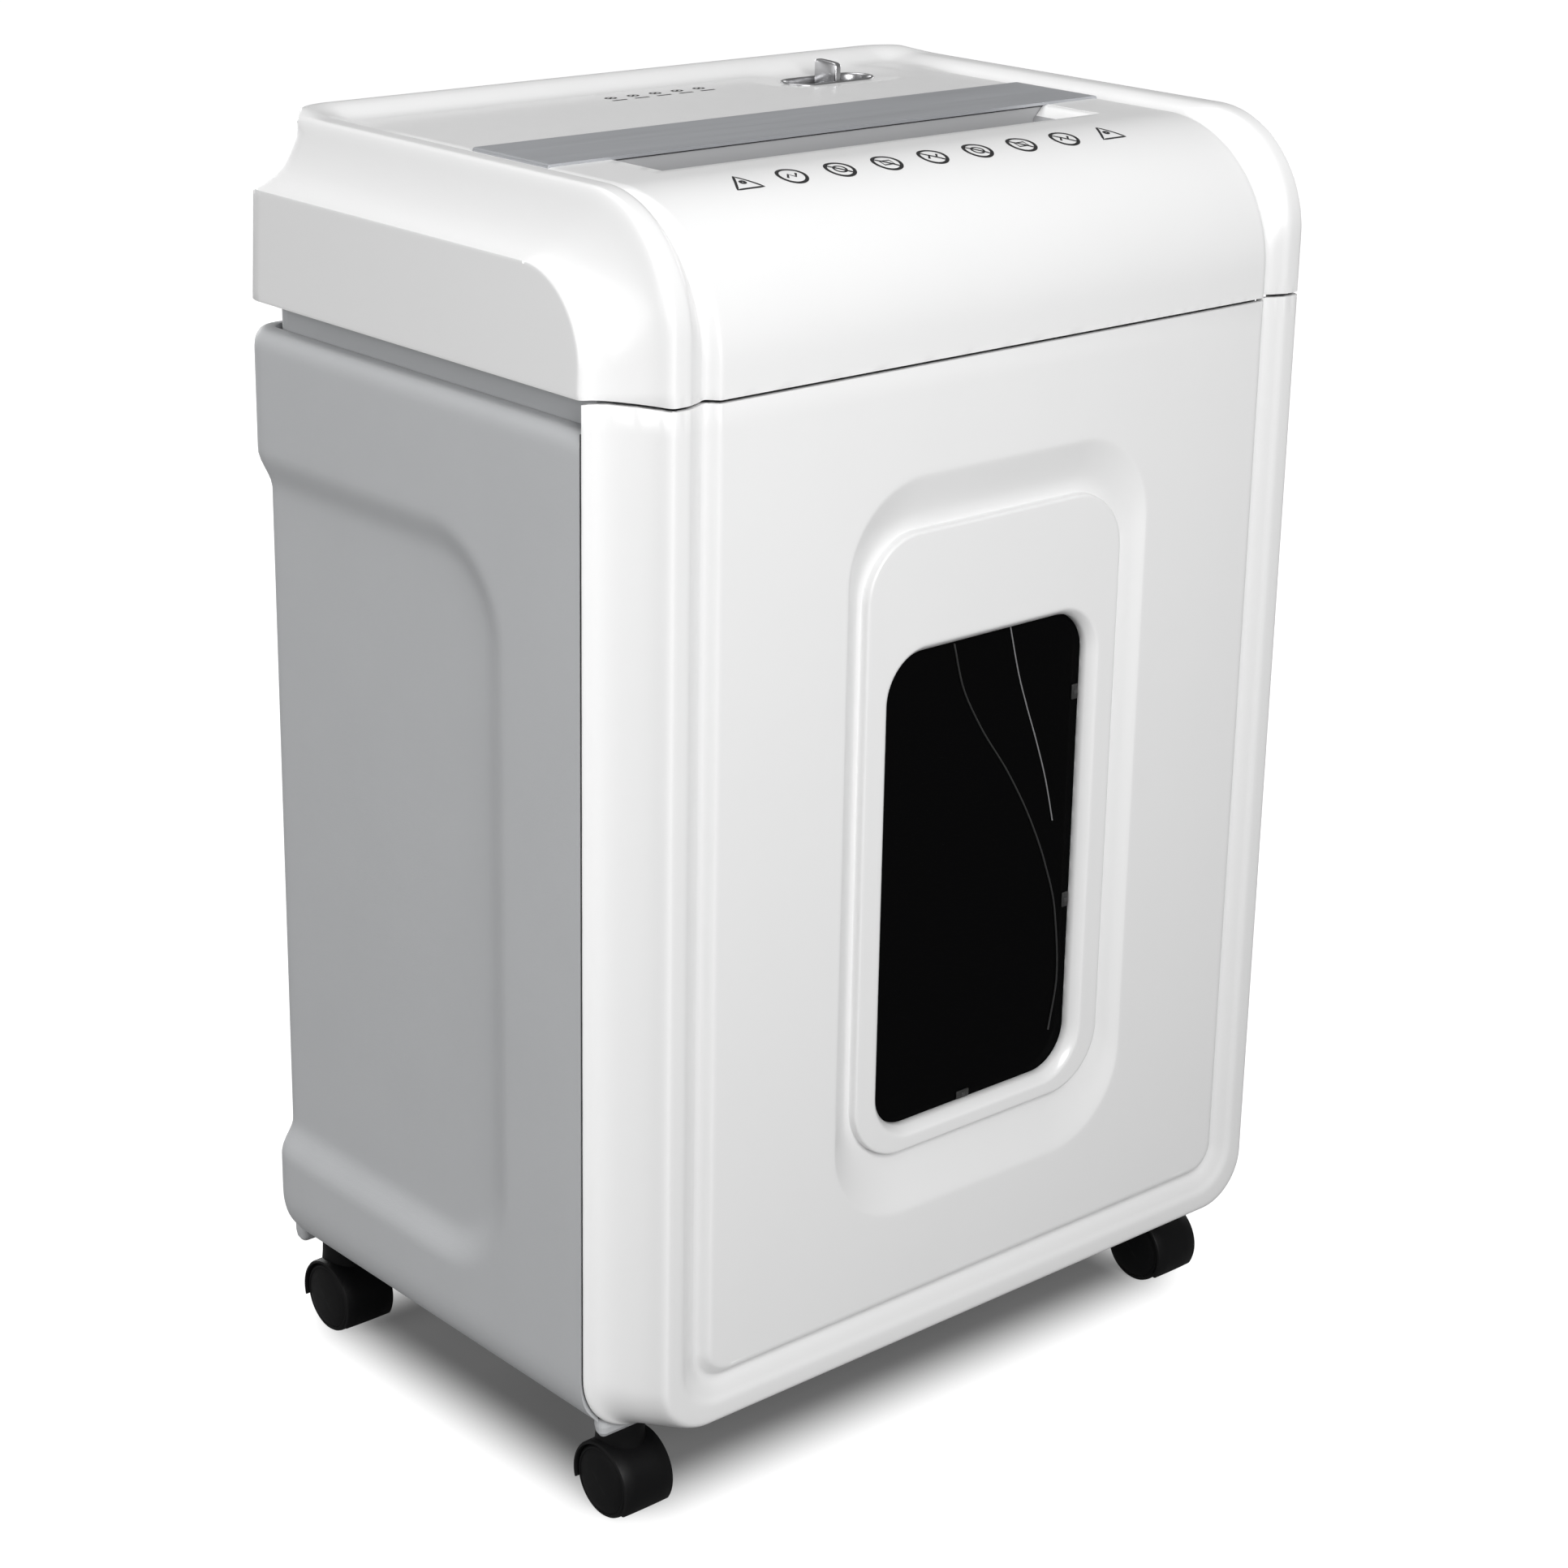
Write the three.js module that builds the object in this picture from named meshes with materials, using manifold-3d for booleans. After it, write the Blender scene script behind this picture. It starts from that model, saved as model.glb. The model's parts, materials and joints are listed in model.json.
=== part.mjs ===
// Cross-cut paper shredder with a pull-out bin, on four twin-wheel casters.
// Millimetres, +Z up, +X to the right of someone facing the front, front towards -Y.
// The origin is on the floor under the middle of the whole object.
import * as THREE from 'three';
import { mergeVertices } from 'three/addons/utils/BufferGeometryUtils.js';
import Module from 'manifold-3d';

const wasm = await Module();
wasm.setup();

// ---- driving dimensions ----
const HALF = 195; // half the overall width
const FRONT = -133.5; // main front panel
const DEPTH = 264; // front panel to rear wall
const BACK = FRONT + DEPTH; // rear wall of head and cabinet
const SEAM = 490; // joint between the head and the bin front
const PANEL_TOP = 562.5; // top panel of the head
const RIDGE_TOP = 566; // raised ridge each side of the top panel
const RIM_TOP = 568; // raised rim along the back of the top
const CREASE_TOP = 536.6; // where the top cove meets the vertical side wall
const CREASE_DEPTH = 30.4; // the same crease down the front corner, behind the front panel
const LEDGE = 478; // top edge of the cabinet
const BASE_LOW = 45; // underside of the base plate
const BASE_TOP = 54.2; // where the cabinet stands on it
const WALL = 2.8; // moulded wall
const COVER_UNDER = PANEL_TOP - 3; // underside of the top panel
const GAP = 0.4; // clearance between neighbouring pieces
const BIN_TRAVEL_CLEAR = 4; // free space behind the closed bin

// Cutting block
const CUT_Z = 500;
const SHAFT_FRONT = FRONT + 69;
const SHAFT_REAR = FRONT + 109;
const REDUCTION_Y = FRONT + 149;
const MOTOR_Y = FRONT + 189;
const SHAFT_R = 7;
const DISC_R = 21.6;
const DISC_PITCH = 17;
const DISC_WIDTH = 8;
const DISC_COUNT = 13;
const FRAME_X = 126.5; // inner face of each steel side frame
const FRAME_THICK = 3;

// Casters
const CASTER_X = 163.5;
const CASTER_STEMS = { front: FRONT + 45, rear: FRONT + 250.5 };
const TRAIL = 2; // wheel axle ahead of the stem
const WHEEL_R = 16.5; // axle height, to the flat of each tread facet
const WHEEL_FACETS = 20;
const HOOD_R = 18.5;
const HOOD_WIDTH = 26;

const toward = (y) => FRONT + y;

// ---- solids ----
function solid(geometry) {
  const bare = geometry.index ? geometry.toNonIndexed() : geometry.clone();
  bare.deleteAttribute('normal');
  bare.deleteAttribute('uv');
  const merged = mergeVertices(bare, 1e-4);
  return new wasm.Manifold(new wasm.Mesh({
    numProp: 3,
    vertProperties: new Float32Array(merged.attributes.position.array),
    triVerts: new Uint32Array(merged.index.array),
  }));
}

const cut = (body, ...tools) => tools.reduce((rest, tool) => rest.subtract(tool), body);
const join = (body, ...more) => more.reduce((whole, piece) => whole.add(piece), body);

function block(x0, x1, y0, y1, z0, z1) {
  const geometry = new THREE.BoxGeometry(x1 - x0, y1 - y0, z1 - z0);
  geometry.translate((x0 + x1) / 2, (y0 + y1) / 2, (z0 + z1) / 2);
  return solid(geometry);
}

// A round bar along X, Y or Z from one end to the other, centred on the other two coordinates.
function bar(axis, radius, from, to, centre, sides = 24) {
  const geometry = new THREE.CylinderGeometry(radius, radius, to - from, sides);
  const middle = (from + to) / 2;
  if (axis === 'x') {
    geometry.rotateZ(Math.PI / 2);
    geometry.translate(middle, centre[0], centre[1]);
  } else if (axis === 'y') {
    geometry.translate(centre[0], middle, centre[1]);
  } else {
    geometry.rotateX(Math.PI / 2);
    geometry.translate(centre[0], centre[1], middle);
  }
  return solid(geometry);
}

const ring = (axis, outer, inner, from, to, centre, sides = 24) => cut(
  bar(axis, outer, from, to, centre, sides),
  bar(axis, inner, from - 1, to + 1, centre, sides),
);

// Closed skin through rings of [x, y, z] points that match one to one, with a flat cap at each end.
// capAxes are the two coordinates in which each end ring is a simple outline.
function loft(rings, capAxes) {
  const count = rings[0].length;
  const positions = rings.flat(2);
  const index = [];
  for (let r = 0; r < rings.length - 1; r += 1) {
    for (let i = 0; i < count; i += 1) {
      const next = (i + 1) % count;
      const a = r * count + i;
      const b = r * count + next;
      index.push(a, b, b + count, a, b + count, a + count);
    }
  }
  const cap = (ring) => {
    const outline = ring.map((p) => new THREE.Vector2(p[capAxes[0]], p[capAxes[1]]));
    const clockwise = THREE.ShapeUtils.isClockWise(outline);
    return THREE.ShapeUtils.triangulateShape(outline, []).map((face) => {
      const faceClockwise = THREE.ShapeUtils.isClockWise(face.map((i) => outline[i]));
      return faceClockwise === clockwise ? face : [face[0], face[2], face[1]];
    });
  };
  const offset = (rings.length - 1) * count;
  cap(rings[0]).forEach(([a, b, c]) => index.push(a, c, b));
  cap(rings[rings.length - 1]).forEach((face) => index.push(...face.map((i) => i + offset)));
  let volume = 0;
  for (let t = 0; t < index.length; t += 3) {
    const [p, q, s] = [0, 1, 2].map((k) => new THREE.Vector3().fromArray(positions, index[t + k] * 3));
    volume += p.dot(q.cross(s));
  }
  if (volume < 0) {
    for (let t = 0; t < index.length; t += 3) {
      [index[t + 1], index[t + 2]] = [index[t + 2], index[t + 1]];
    }
  }
  const geometry = new THREE.BufferGeometry();
  geometry.setAttribute('position', new THREE.Float32BufferAttribute(positions, 3));
  geometry.setIndex(index);
  return solid(geometry);
}

// Points along a circular arc in a plane, from angle a to angle b in degrees.
function arc(cx, cy, radius, a, b, steps) {
  return Array.from({ length: steps + 1 }, (_, i) => {
    const angle = THREE.MathUtils.degToRad(a + ((b - a) * i) / steps);
    return [cx + radius * Math.cos(angle), cy + radius * Math.sin(angle)];
  });
}

// Rounded rectangle, anticlockwise from its lower right corner.
function roundedRect(x0, x1, y0, y1, radius, steps = 5) {
  return [
    ...arc(x1 - radius, y0 + radius, radius, -90, 0, steps),
    ...arc(x1 - radius, y1 - radius, radius, 0, 90, steps),
    ...arc(x0 + radius, y1 - radius, radius, 90, 180, steps),
    ...arc(x0 + radius, y0 + radius, radius, 180, 270, steps),
  ];
}

// Rectangle in plan whose two rear corners are rounded.
function backRounded(halfWidth, y0, y1, radius, steps = 5) {
  return [
    [-halfWidth, y0],
    [halfWidth, y0],
    ...arc(halfWidth - radius, y1 - radius, radius, 0, 90, steps),
    ...arc(-halfWidth + radius, y1 - radius, radius, 90, 180, steps),
  ];
}

const atHeight = (outline, z) => outline.map(([x, y]) => [x, y, z]);
const atDepth = (outline, y) => outline.map(([x, z]) => [x, toward(y), z]);
const atSide = (outline, x) => outline.map(([y, z]) => [x, toward(y), z]);

const upright = (levels) => loft(levels.map(([outline, z]) => atHeight(outline, z)), [0, 1]);
const facing = (levels) => loft(levels.map(([outline, y]) => atDepth(outline, y)), [0, 2]);

// Half width 'w', bottom 'low' and corner radius 'r' of an upright U, open at the top of the bin front.
function uOutline(w, low, r, top, steps = 5) {
  return [
    [-w, top],
    ...arc(-w + r, low + r, r, 180, 270, steps),
    ...arc(w - r, low + r, r, 270, 360, steps),
    [w, top],
  ];
}

const colours = {
  white: [0xeceded, 0.4, 0],
  grey: [0xa6a9ac, 0.7, 0],
  plate: [0x979a9d, 0.35, 0.9],
  chrome: [0xb9bcc0, 0.25, 1],
  steel: [0x8d9195, 0.45, 0.9],
  bronze: [0xa5814d, 0.5, 0.8],
  black: [0x101012, 0.55, 0],
  nylon: [0xd9d4c4, 0.6, 0],
  board: [0x1e5a38, 0.6, 0],
  smoke: [0x08090a, 0.1, 0],
};

const shredder = new THREE.Group();

function piece(name, colour, body) {
  const mesh = body.getMesh();
  const geometry = new THREE.BufferGeometry();
  geometry.setAttribute('position', new THREE.BufferAttribute(mesh.vertProperties, 3));
  geometry.setIndex(new THREE.BufferAttribute(mesh.triVerts, 1));
  const [color, roughness, metalness] = colours[colour];
  const node = new THREE.Mesh(geometry, new THREE.MeshStandardMaterial({ color, roughness, metalness }));
  node.name = name;
  shredder.add(node);
}

// ---- head cover ----
// Each station across the width has its own side profile: how far the front stands behind the
// main panel, the height of the top, and the radius that joins them.
const CORNER = 16; // upright rear corners of head and cabinet
const REAR_R = 5; // top rear edge
const RIM_SPAN = 22; // from the start of the rim's rise to its rear edge
const RIM_CORNER = { half: 178, radius: 24, inset: 1.5 }; // outline of the top inside the crease
const DRAFT = 3; // how far the side walls lean out from the crease to their foot
const headStations = [
  { x: 152.4, front: 0, top: PANEL_TOP, rim: RIM_TOP, radius: 60 },
  { x: 156.6, front: 4.2, top: PANEL_TOP - 2, rim: RIM_TOP, radius: 58 },
  { x: 162, front: 2, top: RIDGE_TOP - 1.6, rim: RIM_TOP, radius: 54 },
  { x: 167.3, front: 0, top: RIDGE_TOP, rim: RIM_TOP - 0.4, radius: 51 },
  { x: 175.2, front: 0, top: RIDGE_TOP, rim: RIDGE_TOP + 0.2, radius: 50 },
  { x: 177.6, front: 7.4, top: 558.4, rim: 558.6, radius: 47 },
  { x: 180.6, front: 14.4, top: 551.6, rim: 551.8, radius: 44 },
  { x: 186, front: 23.6, top: 543, rim: 543.2, radius: 40 },
  { x: HALF - DRAFT, front: CREASE_DEPTH, top: CREASE_TOP, rim: CREASE_TOP + 0.2, radius: 36 },
  { x: HALF, front: CREASE_DEPTH, top: SEAM + 4, rim: SEAM + 4.2, radius: 3 },
];
const hollowStations = [
  { x: 150, front: 3, top: COVER_UNDER, rim: COVER_UNDER + 0.2, radius: 57 },
  { x: 154, front: 7.2, top: COVER_UNDER - 2, rim: COVER_UNDER, radius: 54 },
  { x: 172, front: 7.2, top: COVER_UNDER - 2, rim: COVER_UNDER - 1.8, radius: 50 },
  { x: 180, front: 21, top: 543, rim: 543.2, radius: 41 },
  { x: HALF - DRAFT - WALL, front: CREASE_DEPTH + 4, top: CREASE_TOP - 4, rim: CREASE_TOP - 3.8, radius: 33 },
  { x: HALF - WALL, front: CREASE_DEPTH + 4, top: SEAM + 3, rim: SEAM + 3.2, radius: 2 },
];

// Depth at side position x of an outline with two rounded rear corners.
function rearAt(x, half, rear, radius) {
  const reach = Math.min(radius, Math.max(0, x - (half - radius)));
  return rear - radius + Math.sqrt(radius ** 2 - reach ** 2);
}

function headProfile({ x, front, top, rim, radius }, low, inset) {
  const wall = rearAt(x, HALF - inset, DEPTH - inset, CORNER);
  const { half, radius: turn, inset: lean } = RIM_CORNER;
  const rear = rearAt(x, half - inset, DEPTH - inset - lean, turn);
  const edge = Math.min(REAR_R, (rim - low) / 3);
  const crease = Math.min(rim - edge - 0.3, CREASE_TOP - inset);
  return [
    [front, low],
    ...arc(front + radius, top - radius, radius, 180, 90, 8),
    [rear - RIM_SPAN, top],
    [rear - RIM_SPAN / 2, (top + rim) / 2 + (rim - top) / 4],
    ...arc(rear - edge, rim - edge, edge, 90, 0, 3),
    [wall, crease],
    [wall, low],
  ];
}

function headSolid(stations, low, inset) {
  const half = stations.map((s) => ({ x: s.x, outline: headProfile(s, low, inset) }));
  const across = [...half.map((s) => ({ x: -s.x, outline: s.outline })).reverse(), ...half];
  return loft(across.map((s) => atSide(s.outline, s.x)), [1, 2]);
}

const SLOT = { half: 115.5, front: 73, rear: 105 };
const PLATE = { half: 151.6, front: 105.4, rear: 153.6, low: 561.9, high: 563.4 };
const TRACK = { x: 98, y: 222, long: 56, wide: 26 };
const LED_PITCH = 12.5;
const ledX = [-2, -1, 0, 1, 2].map((i) => i * LED_PITCH);
const LED_Y = 225;

const stadium = (long, wide) => roundedRect(
  TRACK.x - long / 2, TRACK.x + long / 2,
  toward(TRACK.y) - wide / 2, toward(TRACK.y) + wide / 2, wide / 2 - 0.01, 6,
);

const slotMouth = upright([
  [roundedRect(-SLOT.half + 3, SLOT.half - 3, toward(SLOT.front + 2), toward(SLOT.rear - 1), 1, 1), 550],
  [roundedRect(-SLOT.half, SLOT.half, toward(SLOT.front), toward(SLOT.rear), 1, 1), 566],
]);
const plateSeat = block(-PLATE.half - 0.6, PLATE.half + 0.6, toward(PLATE.front - GAP),
  toward(PLATE.rear + GAP), PLATE.low - GAP, 570);
const trackHole = upright([[stadium(TRACK.long + 2 * GAP, TRACK.wide + 2 * GAP), 545],
  [stadium(TRACK.long + 2 * GAP, TRACK.wide + 2 * GAP), 570]]);
const ledHoles = ledX.map((x) => bar('z', 2.3, 550, 570, [x, toward(LED_Y)], 12));
const ventSlots = Array.from({ length: 11 }, (_, i) => {
  const x = (i - 5) * 11;
  return block(x - 2, x + 2, BACK - 11, BACK + 7, 504, 534);
});

const INLET = { x: -120, half: 13, low: 504, high: 523 };
const inletHole = block(INLET.x - INLET.half, INLET.x + INLET.half, BACK - 11, BACK + 7, INLET.low,
  INLET.high);

piece('head_cover', 'white', cut(
  headSolid(headStations, SEAM, 0),
  headSolid(hollowStations, SEAM - 10, WALL),
  slotMouth, plateSeat, trackHole, inletHole, ...ledHoles, ...ventSlots,
));

// ---- entry plate: thin metal sheet behind the slot ----
piece('entry_plate', 'plate', block(-PLATE.half, PLATE.half, toward(PLATE.front), toward(PLATE.rear),
  PLATE.low, PLATE.high));

// ---- paper guide: funnel that leads the sheet to the cutters ----
const GUIDE_TOP = COVER_UNDER - GAP;
const guideRing = (half, y0, y1) => roundedRect(-half, half, toward(y0), toward(y1), 1, 1);
piece('paper_guide', 'grey', cut(
  upright([[guideRing(117, 80, 98), 526], [guideRing(119, 70.5, 107.5), GUIDE_TOP]]),
  upright([[guideRing(113, 85, 93), 525], [guideRing(113, 85, 93), 532],
    [guideRing(115.3, 73.3, 104.7), GUIDE_TOP + 1]]),
  block(11.4, 18.6, toward(90), toward(112), 525, 541),
));

// ---- slide switch ----
const flange = stadium(TRACK.long + 6, TRACK.wide + 6);
piece('switch_track', 'chrome', cut(
  join(
    upright([[flange, 552], [flange, 555.6]]),
    upright([[stadium(TRACK.long, TRACK.wide), 553], [stadium(TRACK.long, TRACK.wide), 562.4],
      [stadium(TRACK.long - 1, TRACK.wide - 1), 563.2]]),
  ),
  upright([[stadium(TRACK.long - 12, TRACK.wide - 12), 557.4],
    [stadium(TRACK.long - 4, TRACK.wide - 4), 564]]),
));
// Knob: a flat foot that slides along X, under an upright fin that stands across it.
const KNOB = { half: 7, deep: 5.5, low: 557.8, base: 561, fin: 570, finHalf: 1.6 };
const finSide = roundedRect(TRACK.y - 6.5, TRACK.y + 6.5, KNOB.base - 1, KNOB.fin, 2.4, 3);
piece('switch_knob', 'chrome', join(
  block(TRACK.x - KNOB.half, TRACK.x + KNOB.half, toward(TRACK.y - KNOB.deep), toward(TRACK.y + KNOB.deep),
    KNOB.low, KNOB.base),
  loft([atSide(finSide, TRACK.x - KNOB.finHalf), atSide(finSide, TRACK.x + KNOB.finHalf)], [1, 2]),
));

// ---- indicator lens: bar under the cover with five pegs flush with the top ----
piece('indicator_lens', 'smoke', join(
  block(-30, 30, toward(LED_Y - 4), toward(LED_Y + 4), 552, 555),
  ...ledX.map((x) => bar('z', 2, 554, PANEL_TOP - 0.1, [x, toward(LED_Y)], 12)),
));

// ---- control board on four posts under the cover ----
piece('control_board', 'board', join(
  block(-62, 62, toward(180), toward(238), 546, 547.6),
  ...[[-57, 184], [57, 184], [-57, 220], [57, 220]].map(([x, y]) => bar('z', 2, 547,
    COVER_UNDER - GAP, [x, toward(y)], 8)),
));

// ---- head base: grey tray that carries the cutting block and closes the cabinet ----
const BAY_REAR = DEPTH - 8; // inner rear face of the cabinet
const TRAY = { half: 185.4, front: 33, rear: BAY_REAR - 0.6, low: 455, high: 500, floor: 458 };
piece('head_base', 'grey', cut(
  upright([[backRounded(TRAY.half, toward(TRAY.front), toward(TRAY.rear), 14), TRAY.low],
    [backRounded(TRAY.half, toward(TRAY.front), toward(TRAY.rear), 14), TRAY.high]]),
  upright([[backRounded(TRAY.half - 3, toward(TRAY.front + 3), toward(TRAY.rear - 3), 11), TRAY.floor],
    [backRounded(TRAY.half - 3, toward(TRAY.front + 3), toward(TRAY.rear - 3), 11), TRAY.high + 1]]),
  block(-118, 118, toward(46), toward(132), TRAY.low - 1, TRAY.floor + 1),
));

// ---- cutting block ----
const FRAME_LOW = TRAY.floor + GAP;
function sideFrame(x0, rear, extraHoles) {
  const x1 = x0 + FRAME_THICK;
  const holes = [[SHAFT_FRONT, CUT_Z], [SHAFT_REAR, CUT_Z]].map((at) => bar('x', 11, x0 - 1, x1 + 1, at));
  return cut(block(x0, x1, toward(44), rear, FRAME_LOW, 538), ...holes, ...extraHoles(x0, x1));
}
const ROD_R = 4;
const rodPlaces = [[toward(51), 466], [toward(127), 466], [toward(127), 532]];
const rodHoles = (x0, x1) => rodPlaces.map((at) => bar('x', ROD_R + 0.3, x0 - 1, x1 + 1, at, 16));
piece('side_frame_left', 'steel', sideFrame(-FRAME_X - FRAME_THICK, toward(134), rodHoles));
piece('side_frame_right', 'steel', sideFrame(FRAME_X, toward(222), (x0, x1) => [
  ...rodHoles(x0, x1),
  bar('x', 4.3, x0 - 1, x1 + 1, [REDUCTION_Y, CUT_Z], 16),
  bar('x', 9, x0 - 1, x1 + 1, [MOTOR_Y, CUT_Z], 16),
]));
rodPlaces.forEach((at, i) => piece(`tie_rod_${i + 1}`, 'steel', bar('x', ROD_R, -132, 132, at, 16)));

const DISC_ROW = (DISC_COUNT - 1) * DISC_PITCH;
// A shaft along X with its row of cutting discs.
function cutterShaft(y, shift, right) {
  const discs = Array.from({ length: DISC_COUNT }, (_, i) => {
    const middle = -DISC_ROW / 2 + i * DISC_PITCH + shift;
    return bar('x', DISC_R, middle - DISC_WIDTH / 2, middle + DISC_WIDTH / 2, [y, CUT_Z], 16);
  });
  return join(bar('x', SHAFT_R, -134, right, [y, CUT_Z], 16), ...discs);
}
piece('cutter_front', 'steel', cutterShaft(SHAFT_FRONT, DISC_PITCH / 4, 145));
piece('cutter_rear', 'steel', cutterShaft(SHAFT_REAR, -DISC_PITCH / 4, 156.4));

const bushSpots = { front: SHAFT_FRONT, rear: SHAFT_REAR };
Object.entries(bushSpots).forEach(([where, y]) => [-1, 1].forEach((side) => {
  const middle = side * (FRAME_X + FRAME_THICK / 2);
  piece(`bush_${where}_${side < 0 ? 'left' : 'right'}`, 'bronze',
    ring('x', 10.7, SHAFT_R + 0.3, middle - 3, middle + 3, [y, CUT_Z], 20));
}));

// Stripper combs: a bar with a finger in every gap between the discs of its shaft.
function comb(barY, fingerY0, fingerY1, shift) {
  const fingers = Array.from({ length: DISC_COUNT - 1 }, (_, i) => {
    const middle = -DISC_ROW / 2 + (i + 0.5) * DISC_PITCH + shift;
    return block(middle - 2, middle + 2, fingerY0, fingerY1, 494, 506);
  });
  const reach = FRAME_X - GAP;
  return join(block(-reach, reach, barY - 3, barY + 3, 490, 510), ...fingers);
}
piece('stripper_front', 'nylon', comb(toward(43.5), toward(43), toward(60), DISC_PITCH / 4));
piece('stripper_rear', 'nylon', comb(toward(134.5), toward(118), toward(135), -DISC_PITCH / 4));

// ---- gears ----
// Straight teeth; the first tooth points at 'phase' degrees from +Y towards -Z.
function gear(teeth, module, x0, x1, y, phase) {
  const pitchR = (teeth * module) / 2;
  const tip = pitchR + 0.8 * module;
  const root = pitchR - 1.15 * module;
  const step = (2 * Math.PI) / teeth;
  const start = THREE.MathUtils.degToRad(phase);
  const points = [];
  for (let i = 0; i < teeth; i += 1) {
    const middle = start + i * step;
    [[root, -0.27], [tip, -0.12], [tip, 0.12], [root, 0.27]].forEach(([r, part]) => {
      const angle = middle + part * step;
      points.push([r * Math.cos(angle), r * Math.sin(angle)]);
    });
  }
  const section = (x) => points.map(([dy, dz]) => [x, y + dy, CUT_Z + dz]);
  return loft([section(x0), section(x1)], [1, 2]);
}
// In each pair the first gear has a tooth on the line of centres and the second has a gap there.
const meshed = (teeth) => 180 + 180 / teeth;
const bored = (body, radius, x0, x1, y) => cut(body, bar('x', radius, x0 - 1, x1 + 1, [y, CUT_Z], 16));
const TRAINS = {
  sync: { teeth: 20, module: 2, x0: 134, x1: 143 },
  drive: { teeth: 30, small: 10, module: 2, x0: 147, x1: 155 },
  motor: { teeth: 51, small: 9, module: 4 / 3, x0: 158, x1: 165 },
};
const { sync, drive, motor } = TRAINS;
piece('sync_gear_front', 'steel',
  bored(gear(sync.teeth, sync.module, sync.x0, sync.x1, SHAFT_FRONT, 0), SHAFT_R + 0.3, sync.x0, sync.x1,
    SHAFT_FRONT));
piece('sync_gear_rear', 'steel',
  bored(gear(sync.teeth, sync.module, sync.x0, sync.x1, SHAFT_REAR, meshed(sync.teeth)), SHAFT_R + 0.3,
    sync.x0, sync.x1, SHAFT_REAR));
piece('drive_gear', 'steel',
  bored(gear(drive.teeth, drive.module, drive.x0, drive.x1, SHAFT_REAR, 0), SHAFT_R + 0.3, drive.x0,
    drive.x1, SHAFT_REAR));
piece('reduction_gear', 'nylon', bored(join(
  gear(motor.teeth, motor.module, motor.x0, motor.x1, REDUCTION_Y, 0),
  gear(drive.small, drive.module, drive.x0, motor.x0 + 1, REDUCTION_Y, meshed(drive.small)),
), 4.3, drive.x0, motor.x1, REDUCTION_Y));
piece('reduction_pin', 'steel', join(
  bar('x', 4, 122, 168, [REDUCTION_Y, CUT_Z], 16),
  bar('x', 6, 168, 170, [REDUCTION_Y, CUT_Z], 16),
));

// ---- motor ----
const MOTOR = { left: -4, right: FRAME_X - GAP, radius: 28 };
piece('motor_can', 'steel', cut(
  bar('x', MOTOR.radius, MOTOR.left, MOTOR.right, [MOTOR_Y, CUT_Z], 28),
  bar('x', MOTOR.radius - 3, MOTOR.left + 4, MOTOR.right - 4, [MOTOR_Y, CUT_Z], 20),
  bar('x', 4.5, MOTOR.left - 1, MOTOR.right + 1, [MOTOR_Y, CUT_Z], 16),
));
piece('motor_rotor', 'steel', join(
  bar('x', 3.2, -34, motor.x1, [MOTOR_Y, CUT_Z], 12),
  bar('x', 19, 14, 106, [MOTOR_Y, CUT_Z], 20),
  gear(motor.small, motor.module, motor.x0, motor.x1, MOTOR_Y, meshed(motor.small)),
));
const fanBlades = Array.from({ length: 7 }, (_, i) => {
  const blade = new THREE.BoxGeometry(9, 15, 1.6);
  blade.rotateY(0.5);
  blade.translate(0, 14.5, 0);
  blade.rotateX((i * 2 * Math.PI) / 7);
  blade.translate(-23, MOTOR_Y, CUT_Z);
  return solid(blade);
});
piece('motor_fan', 'black', cut(
  join(bar('x', 9, -29, -17, [MOTOR_Y, CUT_Z], 16), ...fanBlades),
  bar('x', 3.5, -36, -10, [MOTOR_Y, CUT_Z], 12),
));

// ---- paper lever: sprung flag that hangs across the throat and starts the motor ----
const LEVER = { y: toward(113), z: 536 };
piece('paper_lever', 'black', join(
  bar('x', 2.4, 6, 24, [LEVER.y, LEVER.z], 12),
  block(13, 17, toward(88), LEVER.y, LEVER.z - 1.2, LEVER.z + 1.2),
));
piece('paper_sensor', 'black', cut(
  block(2, 28, toward(109), toward(122.4), 529, 541),
  block(5.4, 24.6, toward(108), toward(116.2), 528, 542),
  bar('x', 2.7, 3.5, 26.5, [LEVER.y, LEVER.z], 12),
));

// ---- cabinet ----
const cabinetPlan = (inset) => backRounded(HALF - inset, toward(CREASE_DEPTH), BACK - inset,
  CORNER - inset / 2);
const bayPlan = backRounded(186, toward(20), toward(BAY_REAR), 14.6);
const FLOOR = 62;
const RECESS = { front: 82, low: 95, high: 424, shelfFront: 94, shelfLow: 118, shelfHigh: 405, depth: 5.6 };
function sideRecess(side) {
  const mouth = roundedRect(RECESS.front, 290, RECESS.low, RECESS.high, 47, 5);
  const shelf = roundedRect(RECESS.shelfFront, 290, RECESS.shelfLow, RECESS.shelfHigh, 40, 5);
  return loft([atSide(mouth, side * (HALF + 0.4)), atSide(shelf, side * (HALF - RECESS.depth))], [1, 2]);
}
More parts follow.
